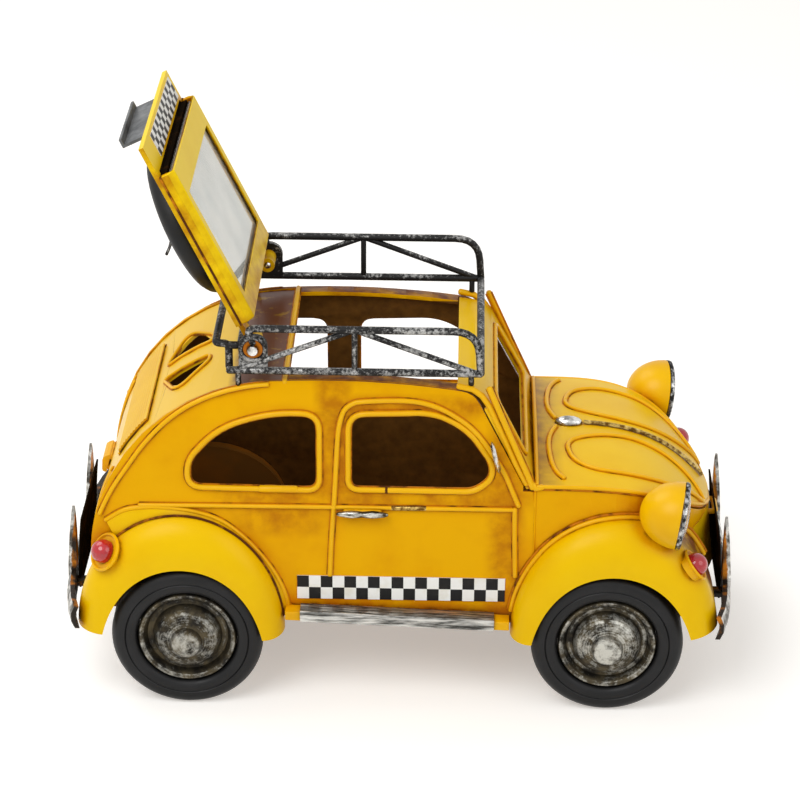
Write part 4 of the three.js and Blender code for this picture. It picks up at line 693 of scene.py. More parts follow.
def stain_and_shade_paint(name, low, high):
    """Grime gathered along the foot of a bead, with painted shadow there and in gaps, dark in places and
    orange in others.
    """
    orange, brown = srgb(198, 120, 6), srgb(84, 42, 8)
    return mottled(name, "body_paint", orange, brown, 5, 5, low, high, (0.5, 0.7), Specular=0.15)


def flat_paint(name, slot, clean, worn, sheen=0.2):
    return mottled(name, slot, clean, worn, 6, 5, 0.5, 0.8, (0.4, 0.55), Specular=sheen)


def rubber():
    """Black rubber with pale dust, and painted shade near black in its hollows and under the fenders."""
    finish = Finish("tyre_rubber", "tyre")
    dust = finish.noise(8, 5).spread(0.45, 0.75, 0, 0.5)
    dusty = finish.mix(dust, srgb(17, 17, 18), srgb(42, 41, 42))
    # Painted shade where other parts are close, as under the fender
    colour = finish.mix(finish.hollow(16, 0.9, 0.45), dusty, srgb(5, 5, 5))
    grain = finish.bump(finish.noise(1.2, 2), 0.05, 0.4)
    return finish.done(colour, dust, (0.42, 0.82), Specular=0.28, Normal=grain)


def card_paper():
    """Pale card with dark cut edges."""
    finish = Finish("card_paper", "card")
    fibre = finish.noise(14, 4).spread(0.35, 0.7)
    face = finish.mix(fibre, srgb(232, 228, 218), srgb(219, 214, 202))
    along, _, up = finish.normal()
    flat = along * sin(LID_OPEN) + up * -cos(LID_OPEN)
    colour = finish.mix(abs(flat) < 0.5, face, srgb(46, 42, 38))
    return finish.done(colour, fibre, (0.65, 0.8))


YELLOW_BRIGHT = srgb(240, 194, 0)
YELLOW_DOOR = srgb(236, 174, 0)
YELLOW_TOP = srgb(238, 192, 8)

PAINT_FENDER = enamel("enamel_fender", YELLOW_BRIGHT, wash=0.16, grime_and_shade=0.7, sheen=0.12, smudge_and_shade=fender_flank_grime_and_shade)
PAINT_LAMP = enamel("enamel_lamp", srgb(240, 186, 0), wash=0.3, grime_and_shade=0.8, sheen=0.2)
PAINT_PANEL = enamel(
    "enamel_panel", YELLOW_DOOR, wash=0.36, grime_and_shade=1.0, sheen=0.06, reach=8,
    inside=faces_middle, smudge_and_shade=panel_wear, bands=panel_bands,
)
PAINT_NOSE = enamel("enamel_nose", YELLOW_DOOR, wash=0.3, grime_and_shade=1.0, sheen=0.06, reach=8)
PAINT_TAIL = enamel("enamel_tail", YELLOW_TOP, wash=0.06, sheen=0.3, inside=faces_cabin, smudge_and_shade=tail_wear)
PAINT_TOP = enamel("enamel_top", YELLOW_TOP, wash=0.3, sheen=0.2)
PAINT_BONNET = enamel("enamel_bonnet", YELLOW_TOP, wash=0.2, grime_and_shade=1.0, sheen=0.2, reach=6, smudge_and_shade=cowl_wear)
PAINT_BEAD = enamel("enamel_bead", srgb(242, 184, 0), wash=0.25, grime_and_shade=0.5, sheen=0.2)
# The lid's yellow is painted paler than the body's, a painted highlight for the glare on it
PAINT_LID = enamel("enamel_lid", srgb(252, 214, 12), wash=0.12, grime_and_shade=0.9, sheen=0.08, bands=lid_bands)
PAINT_BOSS = enamel("enamel_boss", srgb(196, 112, 6), wash=0.5, grime_and_shade=0.9)
PAINT_INSIDE = enamel("enamel_inside", INSIDE_BROWN, wash=0.5, grime_and_shade=0.6)
# Grime with painted shadow at the feet of beads, in gaps and under rims; grime alone on seams and joints
STAIN_AND_SHADE = stain_and_shade_paint("bead_grime_and_shade", 0.48, 0.66)
SEAM_AND_SHADE = stain_and_shade_paint("seam_grime_and_shade", 0.32, 0.5)
WIRE = dry_brushed()
# Front and rear copies of one metal, the front painted lighter as painted light
WHEEL_METAL = {"front": wheel_metal("front", 0.78, 0.04), "rear": wheel_metal("rear", 0.58, -0.03)}
AGED = metal(
    "aged_metal", "aged_metal", srgb(104, 72, 22), srgb(220, 192, 112), 1.6, 0.42, 0.62,
    roughness=0.38, metallic=0.9,
)
CHROME = metal(
    "rubbed_chrome", "bright_metal", srgb(88, 86, 82), srgb(222, 221, 218), 3, 0.32, 0.56,
    roughness=0.25, metallic=1.0,
)
TREAD = metal(
    "tread_strip", "bright_metal", srgb(62, 62, 60), srgb(206, 206, 202), 0.8, 0.4, 0.62,
    roughness=0.36, metallic=0.9, along=14,
)
LAMP_RING = metal(
    "lamp_ring", "bright_metal", srgb(38, 38, 38), srgb(196, 196, 194), 2, 0.46, 0.62,
    roughness=0.3, metallic=1.0,
)
HANDLE = metal(
    "handle_chrome", "aged_metal", srgb(52, 48, 40), srgb(214, 212, 204), 1.3, 0.42, 0.6,
    roughness=0.28, metallic=1.0, along=4,
)
SIGN_BOARD = metal(
    "sign_board", "black_wire", srgb(72, 74, 76), srgb(118, 120, 121), 10, 0.4, 0.7,
    roughness=0.4, metallic=0.5, corner=0.3,
)
BUMPER = bumper_metal()
TYRE = rubber()
RED = mottled(
    "red_lens", "red_lens", srgb(196, 22, 34), srgb(160, 14, 26), 5, 3, 0.35, 0.7, (0.1, 0.2), Coat=0.5
)
GLASS = mottled(
    "clear_glass", "clear_glass", srgb(250, 252, 252), srgb(238, 243, 244), 20, 3, 0.4, 0.7, (0.02, 0.08),
    Clear=1.0, IOR=1.45,
)
CARD = card_paper()
# Near black with no sheen: painted shade behind the bumpers and down the lid's slot
SHADE_DARK = flat_paint("shade_sheet", "bright_metal", srgb(27, 20, 14), srgb(64, 40, 18), 0)
CHECK_BLACK = flat_paint("checker_black", "body_paint", srgb(20, 19, 19), srgb(40, 38, 36))
CHECK_WHITE = flat_paint("checker_white", "body_paint", srgb(244, 243, 238), srgb(226, 220, 200))


# Making pieces

WELD = 1e-6


def placed(name, mesh, body, angle, node):
    sheet = bmesh.new()
    sheet.from_mesh(mesh)
    bmesh.ops.remove_doubles(sheet, verts=sheet.verts, dist=WELD)
    bmesh.ops.dissolve_degenerate(sheet, edges=sheet.edges, dist=WELD)
    bmesh.ops.recalc_face_normals(sheet, faces=sheet.faces)
    sheet.to_mesh(mesh)
    sheet.free()
    mesh.polygons.foreach_set("use_smooth", [True] * len(mesh.polygons))
    mesh.set_sharp_from_angle(angle=radians(angle))
    piece = bpy.data.objects.new(name, mesh)
    bpy.context.scene.collection.objects.link(piece)
    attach(piece, body)
    if node:
        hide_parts(node)
    return piece


def add(name, shape, *materials, body="car", angle=40, node=None, slot=None, face_materials=None):
    """One visible piece that rides on a body, in place of a CAD node where one is named."""
    points, faces = shape
    mesh = bpy.data.meshes.new(name)
    mesh.from_pydata([Vector(p) * MM for p in points], [], faces)
    for material in materials:
        mesh.materials.append(material)
    if face_materials:
        mesh.polygons.foreach_set("material_index", face_materials)
    return placed(name, mesh, body, angle, node)


def add_pair(name, shape, *materials, tail="", node=None, **options):
    """A piece on the right side and its mirror image on the left."""
    for side, mirror in SIDES.items():
        own_node = node and f"{node}_{side}"
        add(f"{name}_{side}{tail}", moved(shape, mirror), *materials, node=own_node, **options)


def skin(node, material, bevel=0.3, angle=35):
    """A CAD node's own shape with its edges eased and its curves smooth."""
    source = frame["nodes"][node]
    mesh = source.data.copy()
    mesh.materials.clear()
    mesh.materials.append(material)
    piece = placed(node + "_skin", mesh, source["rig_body"], angle, node)
    if bevel:
        ease = piece.modifiers.new("ease", "BEVEL")
        ease.width = bevel * MM
        ease.segments = 2
        ease.limit_method = "ANGLE"
        ease.angle_limit = radians(angle)
        ease.harden_normals = True
    return piece


# Body sheets

for side in SIDES:
    skin(f"side_panel_{side}", PAINT_PANEL)
    skin(f"running_board_{side}", PAINT_BEAD)
    skin(f"tread_strip_{side}", TREAD, 0.15)
    skin(f"wing_mirror_{side}", CHROME, 0.2)
    skin(f"hinge_pin_{side}", CHROME, 0)
skin("rear_skin", PAINT_TAIL)
skin("windscreen_frame", PAINT_TOP)
skin("nose_shell", PAINT_NOSE, 0.2)
skin("floor_pan", PAINT_INSIDE, 0.2)
skin("engine_lid", PAINT_TAIL, 0.08, 12)
skin("plate_lamp", PAINT_BEAD, 0.2, 25)
skin("bonnet_ornament", CHROME, 0)
skin("bonnet_spine", AGED, 0.15)
for end in ENDS:
    skin(f"axle_{end}", WHEEL_METAL[end], 0)


def bonnet_sheet():
    across = between(-1, 1, 20)
    rings = []
    for share in between(0, 1, 48):
        x = lerp(COWL_X + BONNET_INSET, NOSE_X - BONNET_INSET, 1 - (1 - share) ** 1.5)
        upper = [bonnet_point(x, nose_half(x) * part) for part in across]
        down = Vector((slope(bonnet_edge, x, 0.05), 0, -1)).normalized() * SHEET
        rings.append(thick(upper, down))
    return loft(rings)


add("bonnet_sheet", bonnet_sheet(), PAINT_BONNET, angle=50, node="bonnet")

APRON_TOP_HEIGHT = 55.0
APRON_FOOT_HEIGHT = 33.0
APRON_BACK_X = 97.4
APRON_PROUD = 0.2
APRON_FLARE = 2.6
APRON_FLARE_POWER = 1.3
APRON_SHEET = 0.8


def nose_apron():
    """The foot of the nose, flaring forward to the bumper."""
    rings = []
    for across in between(-1, 1, 16):
        share = across ** 2
        x = lerp(NOSE_X, APRON_BACK_X, share)
        y = copysign(nose_half(x), across)
        outer = []
        for down in between(0, 1, 5):
            flare = APRON_PROUD + APRON_FLARE * (1 - share) * down ** APRON_FLARE_POWER
            outer.append(Vector((x + flare, y, lerp(APRON_TOP_HEIGHT, APRON_FOOT_HEIGHT, down))))
        rings.append(thick(outer, Vector((-APRON_SHEET, 0, 0))))
    return loft(rings)


add("nose_apron", nose_apron(), PAINT_TOP)


# Bumpers

# A sheet of painted shade behind the overriders
BUMPER_SHADE_HALF = 22.0
BUMPER_SHADE_FOOT_HEIGHT = BUMPER_FOOT_HEIGHT + 1
BUMPER_SHADE_HEIGHT = 26.0
BUMPER_SHADE_INSET = 3.2
BUMPER_SHADE_LEAN = 1.4
BUMPER_SHADE_SHEET = 0.6


def slim_overriders(piece):
    """Draw the back of each overrider forward towards its tip, so that it ends as a thorn."""
    for vertex in piece.data.vertices:
        x, z = vertex.co.x / MM, vertex.co.z / MM
        rise = (z - BUMPER_FOOT_HEIGHT) / (OVERRIDER_TOP_HEIGHT - BUMPER_FOOT_HEIGHT)
        outer = BUMPER_X - OVERRIDER_LEAN * rise * rise
        if rise > OVERRIDER_SLIM_FROM:
            depth = (outer - abs(x)) * (1 - OVERRIDER_SLIM * rise ** 3)
            vertex.co.x = copysign(outer - depth, x) * MM


def shade_sheet():
    """A dark sheet behind the overriders that stands for the shade there."""
    rings = []
    for rise in between(0, 1, 8):
        x = BUMPER_X - BUMPER_SHADE_INSET - BUMPER_SHADE_LEAN * rise ** 2
        z = BUMPER_SHADE_FOOT_HEIGHT + BUMPER_SHADE_HEIGHT * rise
        line = [Vector((x, y, z)) for y in (-BUMPER_SHADE_HALF, BUMPER_SHADE_HALF)]
        rings.append(thick(line, Vector((-BUMPER_SHADE_SHEET, 0, 0))))
    return loft(rings)


for end, ahead in ENDS.items():
    slim_overriders(skin(f"bumper_{end}", BUMPER, 0.25, 25))
    # Painted shade behind each bumper
    back = moved(shade_sheet(), Matrix.Scale(ahead, 4, (1, 0, 0)))
    add(f"shade_sheet_{end}", back, SHADE_DARK)


# Fenders: each section runs from its seat on the body to the lip over the tyre

Section = namedtuple("Section", "seat lip inner bulge")
SMALL_TURN = 0.02


def fender_section(end, turn):
    ahead = ENDS[end]
    axle = ahead * AXLE_X
    seat = Vector((
        axle + ahead * FENDER_AHEAD + FENDER_HALF_LENGTH * cos(turn),
        lerp(FENDER_FOOT_HEIGHT, FENDER_TOP_HEIGHT, sin(turn)),
    ))
    flare = FENDER_LIP_FLARE * (1 - sin(turn)) ** 3
    lip = Vector((
        axle + ahead * FENDER_LIP_AHEAD + (FENDER_LIP_HALF_LENGTH + flare) * cos(turn),
        lerp(FENDER_FOOT_HEIGHT, FENDER_LIP_TOP_HEIGHT, sin(turn)),
    ))
    if end == "rear":
        inner = BODY_HALF + GAP
    else:
        body = BODY_HALF if seat.x < PANEL_END_X else max(nose_half(seat.x), FENDER_INNER_HALF)
        inner = body + FENDER_FRONT_GAP
    return Section(seat, lip, inner, min(FENDER_BULGE, FENDER_HALF - inner - FENDER_BULGE_GAP))


def fender_point(section, roll, wall=0.0):
    start = section.seat + (section.lip - section.seat).normalized() * wall
    place = start.lerp(section.lip, 1 - cos(roll))
    return side_view(place, -FENDER_HALF + wall + (section.bulge - wall) * (1 - sin(roll)))


def fender(end):
    tip = FENDER_TIP_TURN[end]
    first = tip if end == "front" else 0.0
    rings = []
    for turn in between(first, first + pi - tip, 60):
        section = fender_section(end, turn)
        lines = []
        for wall in (0.0, SHEET):
            line = [fender_point(section, roll, wall) for roll in between(0, pi / 2, 16)]
            lines.append([Vector((line[0].x, -section.inner, line[0].z))] + line)
        rings.append(lines[0] + lines[1][::-1])
    return loft(rings)


def fender_seat(end, x, half):
    """Place and normal on a fender at a distance along the car and from its middle."""
    turn = acos((x - ENDS[end] * (AXLE_X + FENDER_AHEAD)) / FENDER_HALF_LENGTH)
    section = fender_section(end, turn)
    roll = asin(min(max(1 - (FENDER_HALF - half) / section.bulge, 0), 1))
    place = fender_point(section, roll)
    beside = fender_point(fender_section(end, turn + SMALL_TURN), roll) - place
    normal = Vector((beside.z, 0, -beside.x)).normalized()
    return place, normal if normal.z > 0 else -normal


for end in ENDS:
    name = f"fender_{end}"
    add_pair(name, fender(end), PAINT_FENDER, tail="_shell", angle=50, node=name)


# Lamps, turned from profiles of radius and distance forward or outward

HEADLAMP_PLACE = (90.8, -46.0, 72.0)
HEADLAMP_TOE = 6
HEADLAMP_PITCH = 7
HEADLAMP_RADIUS = 11.3
HEADLAMP_LENGTH = 13.0
HEADLAMP_RIM = [
    (9.1, 0.3), (11.06, 0.3), (11.14, 0.9), (10.9, 1.5), (10.3, 1.8), (9.5, 1.7), (9.1, 1.3), (9.1, 0.3),
]
HEADLAMP_LENS = [(0, 0.5), (8.8, 0.5), (8.8, 1.4), (7.4, 2.1), (5.6, 2.6), (3.2, 2.95), (0, 3.1)]
HEADLAMP_AIM = turned(-HEADLAMP_TOE, "Z") @ turned(HEADLAMP_PITCH, "Y") @ turned(-90, "Z")
ON_HEADLAMP = Matrix.Translation(HEADLAMP_PLACE) @ HEADLAMP_AIM


def headlamp_bowl():
    lines = []
    for wall in (0.0, SHEET):
        radius, depth = HEADLAMP_RADIUS - GAP - wall, HEADLAMP_LENGTH - wall
        lines.append([(radius * sin(a), -depth * cos(a)) for a in between(0, pi / 2, 16)])
    return lathe(lines[0] + lines[1][::-1])


for name, profile, material in (("rim", HEADLAMP_RIM, LAMP_RING), ("lens", HEADLAMP_LENS, GLASS)):
    node = f"headlamp_{name}"
    add_pair(node, moved(lathe(profile), ON_HEADLAMP), material, tail="_ring", node=node)
bowl = moved(headlamp_bowl(), ON_HEADLAMP)
add_pair("headlamp_bowl", bowl, PAINT_LAMP, angle=50, node="headlamp_shell")

LAMP_CUP = [
    (0, -1.6), (4.4, -1.6), (4.6, 0.5), (5.4, 0.8), (5.7, 1.3), (5.4, 1.8), (5.0, 1.7), (4.6, 1.0), (0, 0.7),
]
LAMP_DOME_RADIUS = 3.9
LAMP_DOME_FOOT = 1.4
LAMP_DOME_BACK = 0.5
TAIL_LAMP_RING = [
    (0, -2.4), (4.4, -2.4), (4.8, -0.6), (5.8, -0.6), (6.4, -0.1), (6.6, 0.5), (6.2, 1.1), (5.7, 1.0),
    (5.3, 0.3), (0, 0.1),
]
TAIL_LAMP_TURN = radians(30)
TAIL_LAMP_SHIFT = Vector((-0.7, 0.4, 0.8))
FENDER_LAMPS = {"front_indicator": ("front", 96.5, 45.5), "tail_lamp": ("rear", -95.2, 46.3)}


def lamp_dome():
    radius = LAMP_DOME_RADIUS
    angles = between(0, pi / 2, 12)
    dome = [(radius * cos(a), LAMP_DOME_FOOT + radius * sin(a)) for a in angles]
    return lathe([(0, LAMP_DOME_BACK), (radius, LAMP_DOME_BACK)] + dome, 32)


for lamp, (end, x, half) in FENDER_LAMPS.items():
    place, normal = fender_seat(end, x, half)
    cup = LAMP_CUP
    if lamp == "tail_lamp":
        cup = TAIL_LAMP_RING
        normal = normal * cos(TAIL_LAMP_TURN) + Vector((0, -sin(TAIL_LAMP_TURN), 0))
        place = place + TAIL_LAMP_SHIFT
    seat = Matrix.Translation(place) @ Vector((0, 1, 0)).rotation_difference(normal).to_matrix().to_4x4()
    add_pair(lamp, moved(lamp_dome(), seat), RED, tail="_dome", angle=50, node=lamp)
    add_pair(lamp, moved(lathe(cup, 32), seat), PAINT_BEAD, tail="_cup")


# Handles

HANDLE_X = -11.5
HANDLE_HEIGHT = 69.0
HANDLE_HALF = 43.2
HANDLE_SPINDLE = [
    (0, -8.5), (0.5, -8.2), (0.8, -7.2), (1.1, -5.2), (1.3, -3.4), (1.15, -1.6), (0.95, 0),
    (1.15, 1.6), (1.3, 3.4), (1.1, 5.2), (0.8, 7.2), (0.5, 8.2), (0, 8.5),
]
PAD_HALF = 41.6
PAD_REACH = 5.5
PAD_RADIUS = 1.3
NOSE_HANDLE = both_sides([(103.4, -4.5, 0), (106.3, -4.5, 1.5)])
NOSE_HANDLE_HEIGHT = 51.7
NOSE_HANDLE_RADIUS = 1.0

on_door = Matrix.Translation((HANDLE_X, -HANDLE_HALF, HANDLE_HEIGHT)) @ turned(-90, "Z")
spindle = moved(lathe(HANDLE_SPINDLE, 20), on_door)
add_pair("door_handle", spindle, HANDLE, tail="_spindle", angle=50, node="door_handle")
pad_ends = [(HANDLE_X + out, -PAD_HALF, HANDLE_HEIGHT) for out in (-PAD_REACH, PAD_REACH)]
add_pair("door_handle", tube(pad_ends, PAD_RADIUS), PAINT_BEAD, tail="_pad")

nose_path = [(p.x, p.y, NOSE_HANDLE_HEIGHT) for p in bent(NOSE_HANDLE)]
add("nose_handle_wire", tube(nose_path, NOSE_HANDLE_RADIUS), PAINT_BEAD, node="nose_handle")


# Roof rack

RACK_FOOT_INSET = 3.0
RACK_FRONT_ROOF_HEIGHT = 113.8
LUG_HALF = 4.6
LUG_FOOT_BEND = 1
LUG_TOP_BEND = 4.5
LUG_INNER = 36.75
LUG_OUTER = 38.25
EYE_RADIUS = 3.9
EYE_WIRE = 1.6
EYE_HALF = 38.5
BOSS_PROFILE = [(0, 0), (3.6, 0), (3.6, 0.4), (0, 0.4)]
BOSS_HALF = 38.6
LOOP_HALF = 34.95
LOOP_REACH = 4.2
LOOP_RISE = 8.0
LOOP_BEND = 1.8
POST_HALF = 35.2
STOP_X = -50.45
STOP_HEIGHT = 125.05
STOP_BEND = 1.4
FRONT_BAR_HALF = 36.45
LOWER_RAIL = [(RACK_REAR_X, RACK_LOWER_HEIGHT, 0), (RACK_FRONT_X, RACK_LOWER_HEIGHT, 0)]
UPPER_RAIL = [
    (HINGE_X, HINGE_HEIGHT + 2, 0), (HINGE_X - 2, RACK_UPPER_HEIGHT, 3),
    (RACK_FRONT_X - 1, RACK_UPPER_HEIGHT, 8), (RACK_FRONT_X, RACK_LOWER_HEIGHT, 0),
]
BRACE_FEET = (RACK_REAR_X + 2, RACK_FRONT_X - 1, RACK_STRUT_X)


def rack_foot(x):
    """A short wire from the roof's edge up to the lower rail."""
    roof = RACK_FRONT_ROOF_HEIGHT
    if x < 0:
        roof = TAIL_CENTRE_HEIGHT + sqrt(TAIL_RADIUS ** 2 - (x - TAIL_CENTRE_X) ** 2)
    half = BODY_HALF - (roof - BELT_HEIGHT) * tan(PANEL_LEAN) - SHEET / 2
    return tube([(x, -half, roof - GAP), (x, -RACK_HALF, RACK_LOWER_HEIGHT)], BRACE_WIRE / 2)


def rack_side():
    def wire(corners, diameter):
        return tube([side_view(p, -RACK_HALF) for p in bent(corners)], diameter / 2, sides=12)

    low, high = RACK_LOWER_HEIGHT, RACK_UPPER_HEIGHT
    rails = [wire(corners, RACK_WIRE) for corners in (LOWER_RAIL, UPPER_RAIL)]
    braces = [wire([(x, low, 0), (RACK_STRUT_X, high, 0)], BRACE_WIRE) for x in BRACE_FEET]
    feet = [rack_foot(x) for x in (RACK_REAR_X + RACK_FOOT_INSET, RACK_FRONT_X - RACK_FOOT_INSET)]
    eye = [
        (HINGE_X + EYE_RADIUS * cos(a), -EYE_HALF, HINGE_HEIGHT + EYE_RADIUS * sin(a))
        for a in round_angles(24)
    ]
    top, rear, front = HINGE_HEIGHT + LUG_HALF, HINGE_X - LUG_HALF, HINGE_X + LUG_HALF
    lug = [(x, low, LUG_FOOT_BEND) for x in (rear, front)] + [(x, top, LUG_TOP_BEND) for x in (front, rear)]
    boss = moved(lathe(BOSS_PROFILE, 24), Matrix.Translation((HINGE_X, -BOSS_HALF, HINGE_HEIGHT)))
    hinge = [tube(eye, EYE_WIRE / 2, closed=True), plate(bent(lug, True), -LUG_OUTER, -LUG_INNER)]
    return two_coloured(joined(*rails, *braces, *feet, *hinge), boss)


def rack_rear_frame():
    """A loop that stands out behind the rack, and the stop that the open lid leans on."""
    rear, high, post = RACK_REAR_X - LOOP_REACH, RACK_LOWER_HEIGHT + LOOP_RISE, POST_HALF
    loop = [(RACK_REAR_X, -post, RACK_LOWER_HEIGHT), (RACK_REAR_X, -post, high), (rear, -LOOP_HALF, high)]
    stop = [(RACK_REAR_X, -post, STOP_HEIGHT), (STOP_X, -post, STOP_HEIGHT)]
    wires = []
    for corners, reach in ((loop, LOOP_BEND), (stop, STOP_BEND)):
        path = bent([(*corner, reach) for corner in both_sides(corners)], steps=5)
        wires.append(tube(path, RACK_WIRE / 2, sides=12))
    return joined(*wires)


wires, slots = rack_side()
add_pair("rack_side", wires, WIRE, PAINT_BOSS, tail="_wires", node="rack_side", face_materials=slots)
add("rack_rear_wires", rack_rear_frame(), WIRE, node="rack_rear_frame")
bar_ends = both_sides([(RACK_FRONT_X, -FRONT_BAR_HALF, RACK_LOWER_HEIGHT)])
add("rack_front_wire", tube(bar_ends, RACK_WIRE / 2), WIRE, node="rack_front_bar")


# Wheels, each turned from a profile of radius and distance from the tyre's middle

WHEEL_HALF = 43.5
TYRE_HALF_PROFILE = [
    (16.5, -4.8), (17.4, -6.1), (18.8, -6.5), (20.0, -6.5), (20.3, -6.2), (20.6, -6.5), (22.0, -6.4),
    (23.3, -6.0), (24.3, -5.1), (24.85, -4.2), (25.0, -3.4), (25.0, -2.4), (24.6, -2.2), (24.6, -1.8),
    (25.0, -1.6),
]
WHEEL_PROFILE = [
    (0, 10.8), (3.4, 10.75), (4.5, 10.4), (5.0, 9.6), (5.2, 8.0), (5.9, 7.6), (7.8, 7.35), (9.2, 6.8),
    (10.3, 5.7), (10.9, 4.2), (11.4, 2.7), (12.2, 2.35), (13.2, 2.5), (13.8, 3.5), (14.3, 4.8), (15.0, 5.3),
    (15.8, 5.25), (16.2, 4.7), (16.2, -5.2), (0, -5.2),
]


def both_faces(half_profile):
    return both_sides(half_profile) + half_profile[:1]


for end, ahead in ENDS.items():
    seat = Matrix.Translation((ahead * AXLE_X, -WHEEL_HALF, AXLE_HEIGHT)) @ turned(180, "Z")
    profiles = {"tyre": (both_faces(TYRE_HALF_PROFILE), TYRE), "wheel": (WHEEL_PROFILE, WHEEL_METAL[end])}
    for kind, (profile, material) in profiles.items():
        name = f"{kind}_{end}"
        shape = moved(lathe(profile, 96), seat)
        add_pair(name, shape, material, tail="_turned", node=name, body=f"{end}_wheels")


# Lid

for node, material, bevel in (
    ("lid_plate", PAINT_LID, 0.45), ("photo_frame", PAINT_LID, 0.45), ("photo_window", GLASS, 0.0),
    ("photo_card", CARD, 0.08), ("roof_sign", SIGN_BOARD, 0.2),
):
    skin(node, material, bevel)

# Distances in the spare tyre's profile are from its middle, in the spare wheel's from the lid's outside
SPARE_HALF_PROFILE = [
    (13.0, -3.6), (14.6, -4.6), (16.8, -4.75), (19.0, -4.75), (19.3, -4.5), (19.6, -4.75), (21.8, -4.5),
    (23.8, -3.9), (25.1, -2.8), (25.9, -1.4),
]
SPARE_WHEEL_PROFILE = [
    (0, 0), (11.4, 0), (12.7, 2), (12.7, 6.5), (12.2, 7.2), (11.4, 7.3), (10.6, 6.7), (9.8, 5.9),
    (7.4, 5.5), (6.2, 6.0), (5.0, 6.9), (3.8, 7.3), (0, 7.5),
]
SPARE_HALF_WIDTH = 4.75
SPARE_U = 35.5
LID_OUTSIDE = 2.3

ON_LID = Matrix.Translation((HINGE_X, 0, HINGE_HEIGHT)) @ Matrix.Rotation(-LID_OPEN, 4, "Y")
on_outside = ON_LID @ Matrix.Translation((SPARE_U, 0, LID_OUTSIDE)) @ turned(90, "X")
spare = lathe(both_faces(SPARE_HALF_PROFILE), 96)
spare = moved(spare, on_outside @ Matrix.Translation((0, SPARE_HALF_WIDTH, 0)))
add("spare_tyre_turned", spare, TYRE, node="spare_tyre", body="lid")
spare_disc = moved(lathe(SPARE_WHEEL_PROFILE, 96), on_outside)
add("spare_wheel_turned", spare_disc, TYRE, node="spare_wheel", body="lid")

# Painted shade round the slot and down its throat, short of the card: from and to u, half width, from and to
# z
SLOT_SHADE = [
    (LID_SLOT_U, LID_SLOT_U + 1.0, 32.0, 0.2, 0.6), (LID_SLOT_U - 1.4, LID_SLOT_U, 32.8, -1.6, 0.35),
]
LID_SEAM_FOOT_U = 8.0
LID_SEAM_RISE = 0.25
LID_SEAM_RADIUS = 0.35
SPARE_HOOK = [(35.5, 0, 8), (33.5, 0, 13.5), (31.8, 0, 16.5), (29.5, 0, 18.6), (27.6, 0, 20.8)]
SPARE_HOOK_RADIUS = 0.5


def lid_box(u_low, u_high, half, low, high):
    section = ((-half, low), (half, low), (half, high), (-half, high))
    return loft([[Vector((u, y, z)) for y, z in section] for u in (u_low, u_high)])


slot_shade = joined(*(lid_box(*sizes) for sizes in SLOT_SHADE))
add("lid_slot_shade", moved(slot_shade, ON_LID), SHADE_DARK, body="lid", slot="black_wire")
joint = [Vector((u, -LID_HALF, LID_SEAM_RISE)) for u in (LID_SEAM_FOOT_U, LID_SLOT_U / 2, LID_SLOT_U)]
add_pair("lid_seam", moved(tube(joint, LID_SEAM_RADIUS), ON_LID), SEAM_AND_SHADE, body="lid")
add("spare_hook", moved(tube(curve(SPARE_HOOK), SPARE_HOOK_RADIUS), ON_LID), WIRE, body="lid")


# Beads: round wire laid on the sheets, with grime and painted shadow along the foot

BEAD_RADIUS = 0.95
BEAD_PROUD = 0.3
STAIN_AND_SHADE_REACH = 0.3


def bead(name, path, normals, radius, closed=False, add_to=add_pair):
    wire = tube([p + n * BEAD_PROUD for p, n in zip(path, normals)], radius, closed)
    # The band round the foot is grime and painted shadow
    foot = band(path, normals, radius + STAIN_AND_SHADE_REACH, closed)
    shape, slots = two_coloured(wire, foot)
    add_to(name, shape, PAINT_BEAD, STAIN_AND_SHADE, face_materials=slots)


def panel_bead(name, path, radius, closed=False):
    bead(name, [panel_point(x, z) for x, z in path], [panel_normal(z) for _, z in path], radius, closed)


def window_loop(corners):
    """A window's outline from corners of (distance along, share of the glass height, reach of the bend)."""
    return outline([(x, glass_height(share), reach) for x, share, reach in corners], outward=0.7, spacing=4)


QUARTER_WINDOW = [
    (-67.5, 0.15, 4), (-26.1, 0.14, 3.5), (-26.1, 0.72, 5), (-40, 0.73, 8), (-57.5, 0.605, 8),
    (-67.5, 0.345, 4),
]
DOOR_WINDOW = [
    (-15.5, 0.15, 3), (24.5, 0.148, 3), (29.6, 0.245, 2.6), (29.6, 0.36, 2.4), (22.6, 0.6, 5),
    (12, 0.746, 6), (-15.5, 0.725, 5),
]
DOOR_FRAME = [
    (-22.2, 45.4), (-21.6, 59), (-20.8, 70.7), (-20.2, 81.8), (-19.5, 95), (-18.7, 100.5), (-17.4, 104.3),
    (-14.9, 106.5), (-11.4, 107.4), (1.7, 107.9), (10.8, 106.4), (18.9, 102.2), (25.1, 96.9), (31.3, 88.2),
    (34.5, 82.8), (36.8, 77.3), (39, 72),
]
DOOR_FRONT = [(37.8, 70.9), (38, 60.1), (38.5, 46)]
PILLAR_TRIM = [(28.8, 112.6), (33.1, 102.5), (37.3, 92.7), (41.6, 82.9), (43.4, 78.4)]
BELT_LINE = [(-84, 70.2), (-40, 70.5), (0, 70.6), (37, 70.6)]
# The rim bead of the tail: angle in degrees and how far inside the panel's edge
TAIL_RIM = [(86, 0.9), (77, 0.9), (60, 1.2), (43, 2.6), (33, 3.1), (22, 2.2), (15, 1.4)]


def tail_rim():
    centre = Vector((TAIL_CENTRE_X, TAIL_CENTRE_HEIGHT))
    places = [(TAIL_RADIUS - inset, radians(angle)) for angle, inset in curve(TAIL_RIM)]
    return [centre + Vector((-cos(turn), sin(turn))) * reach for reach, turn in places]


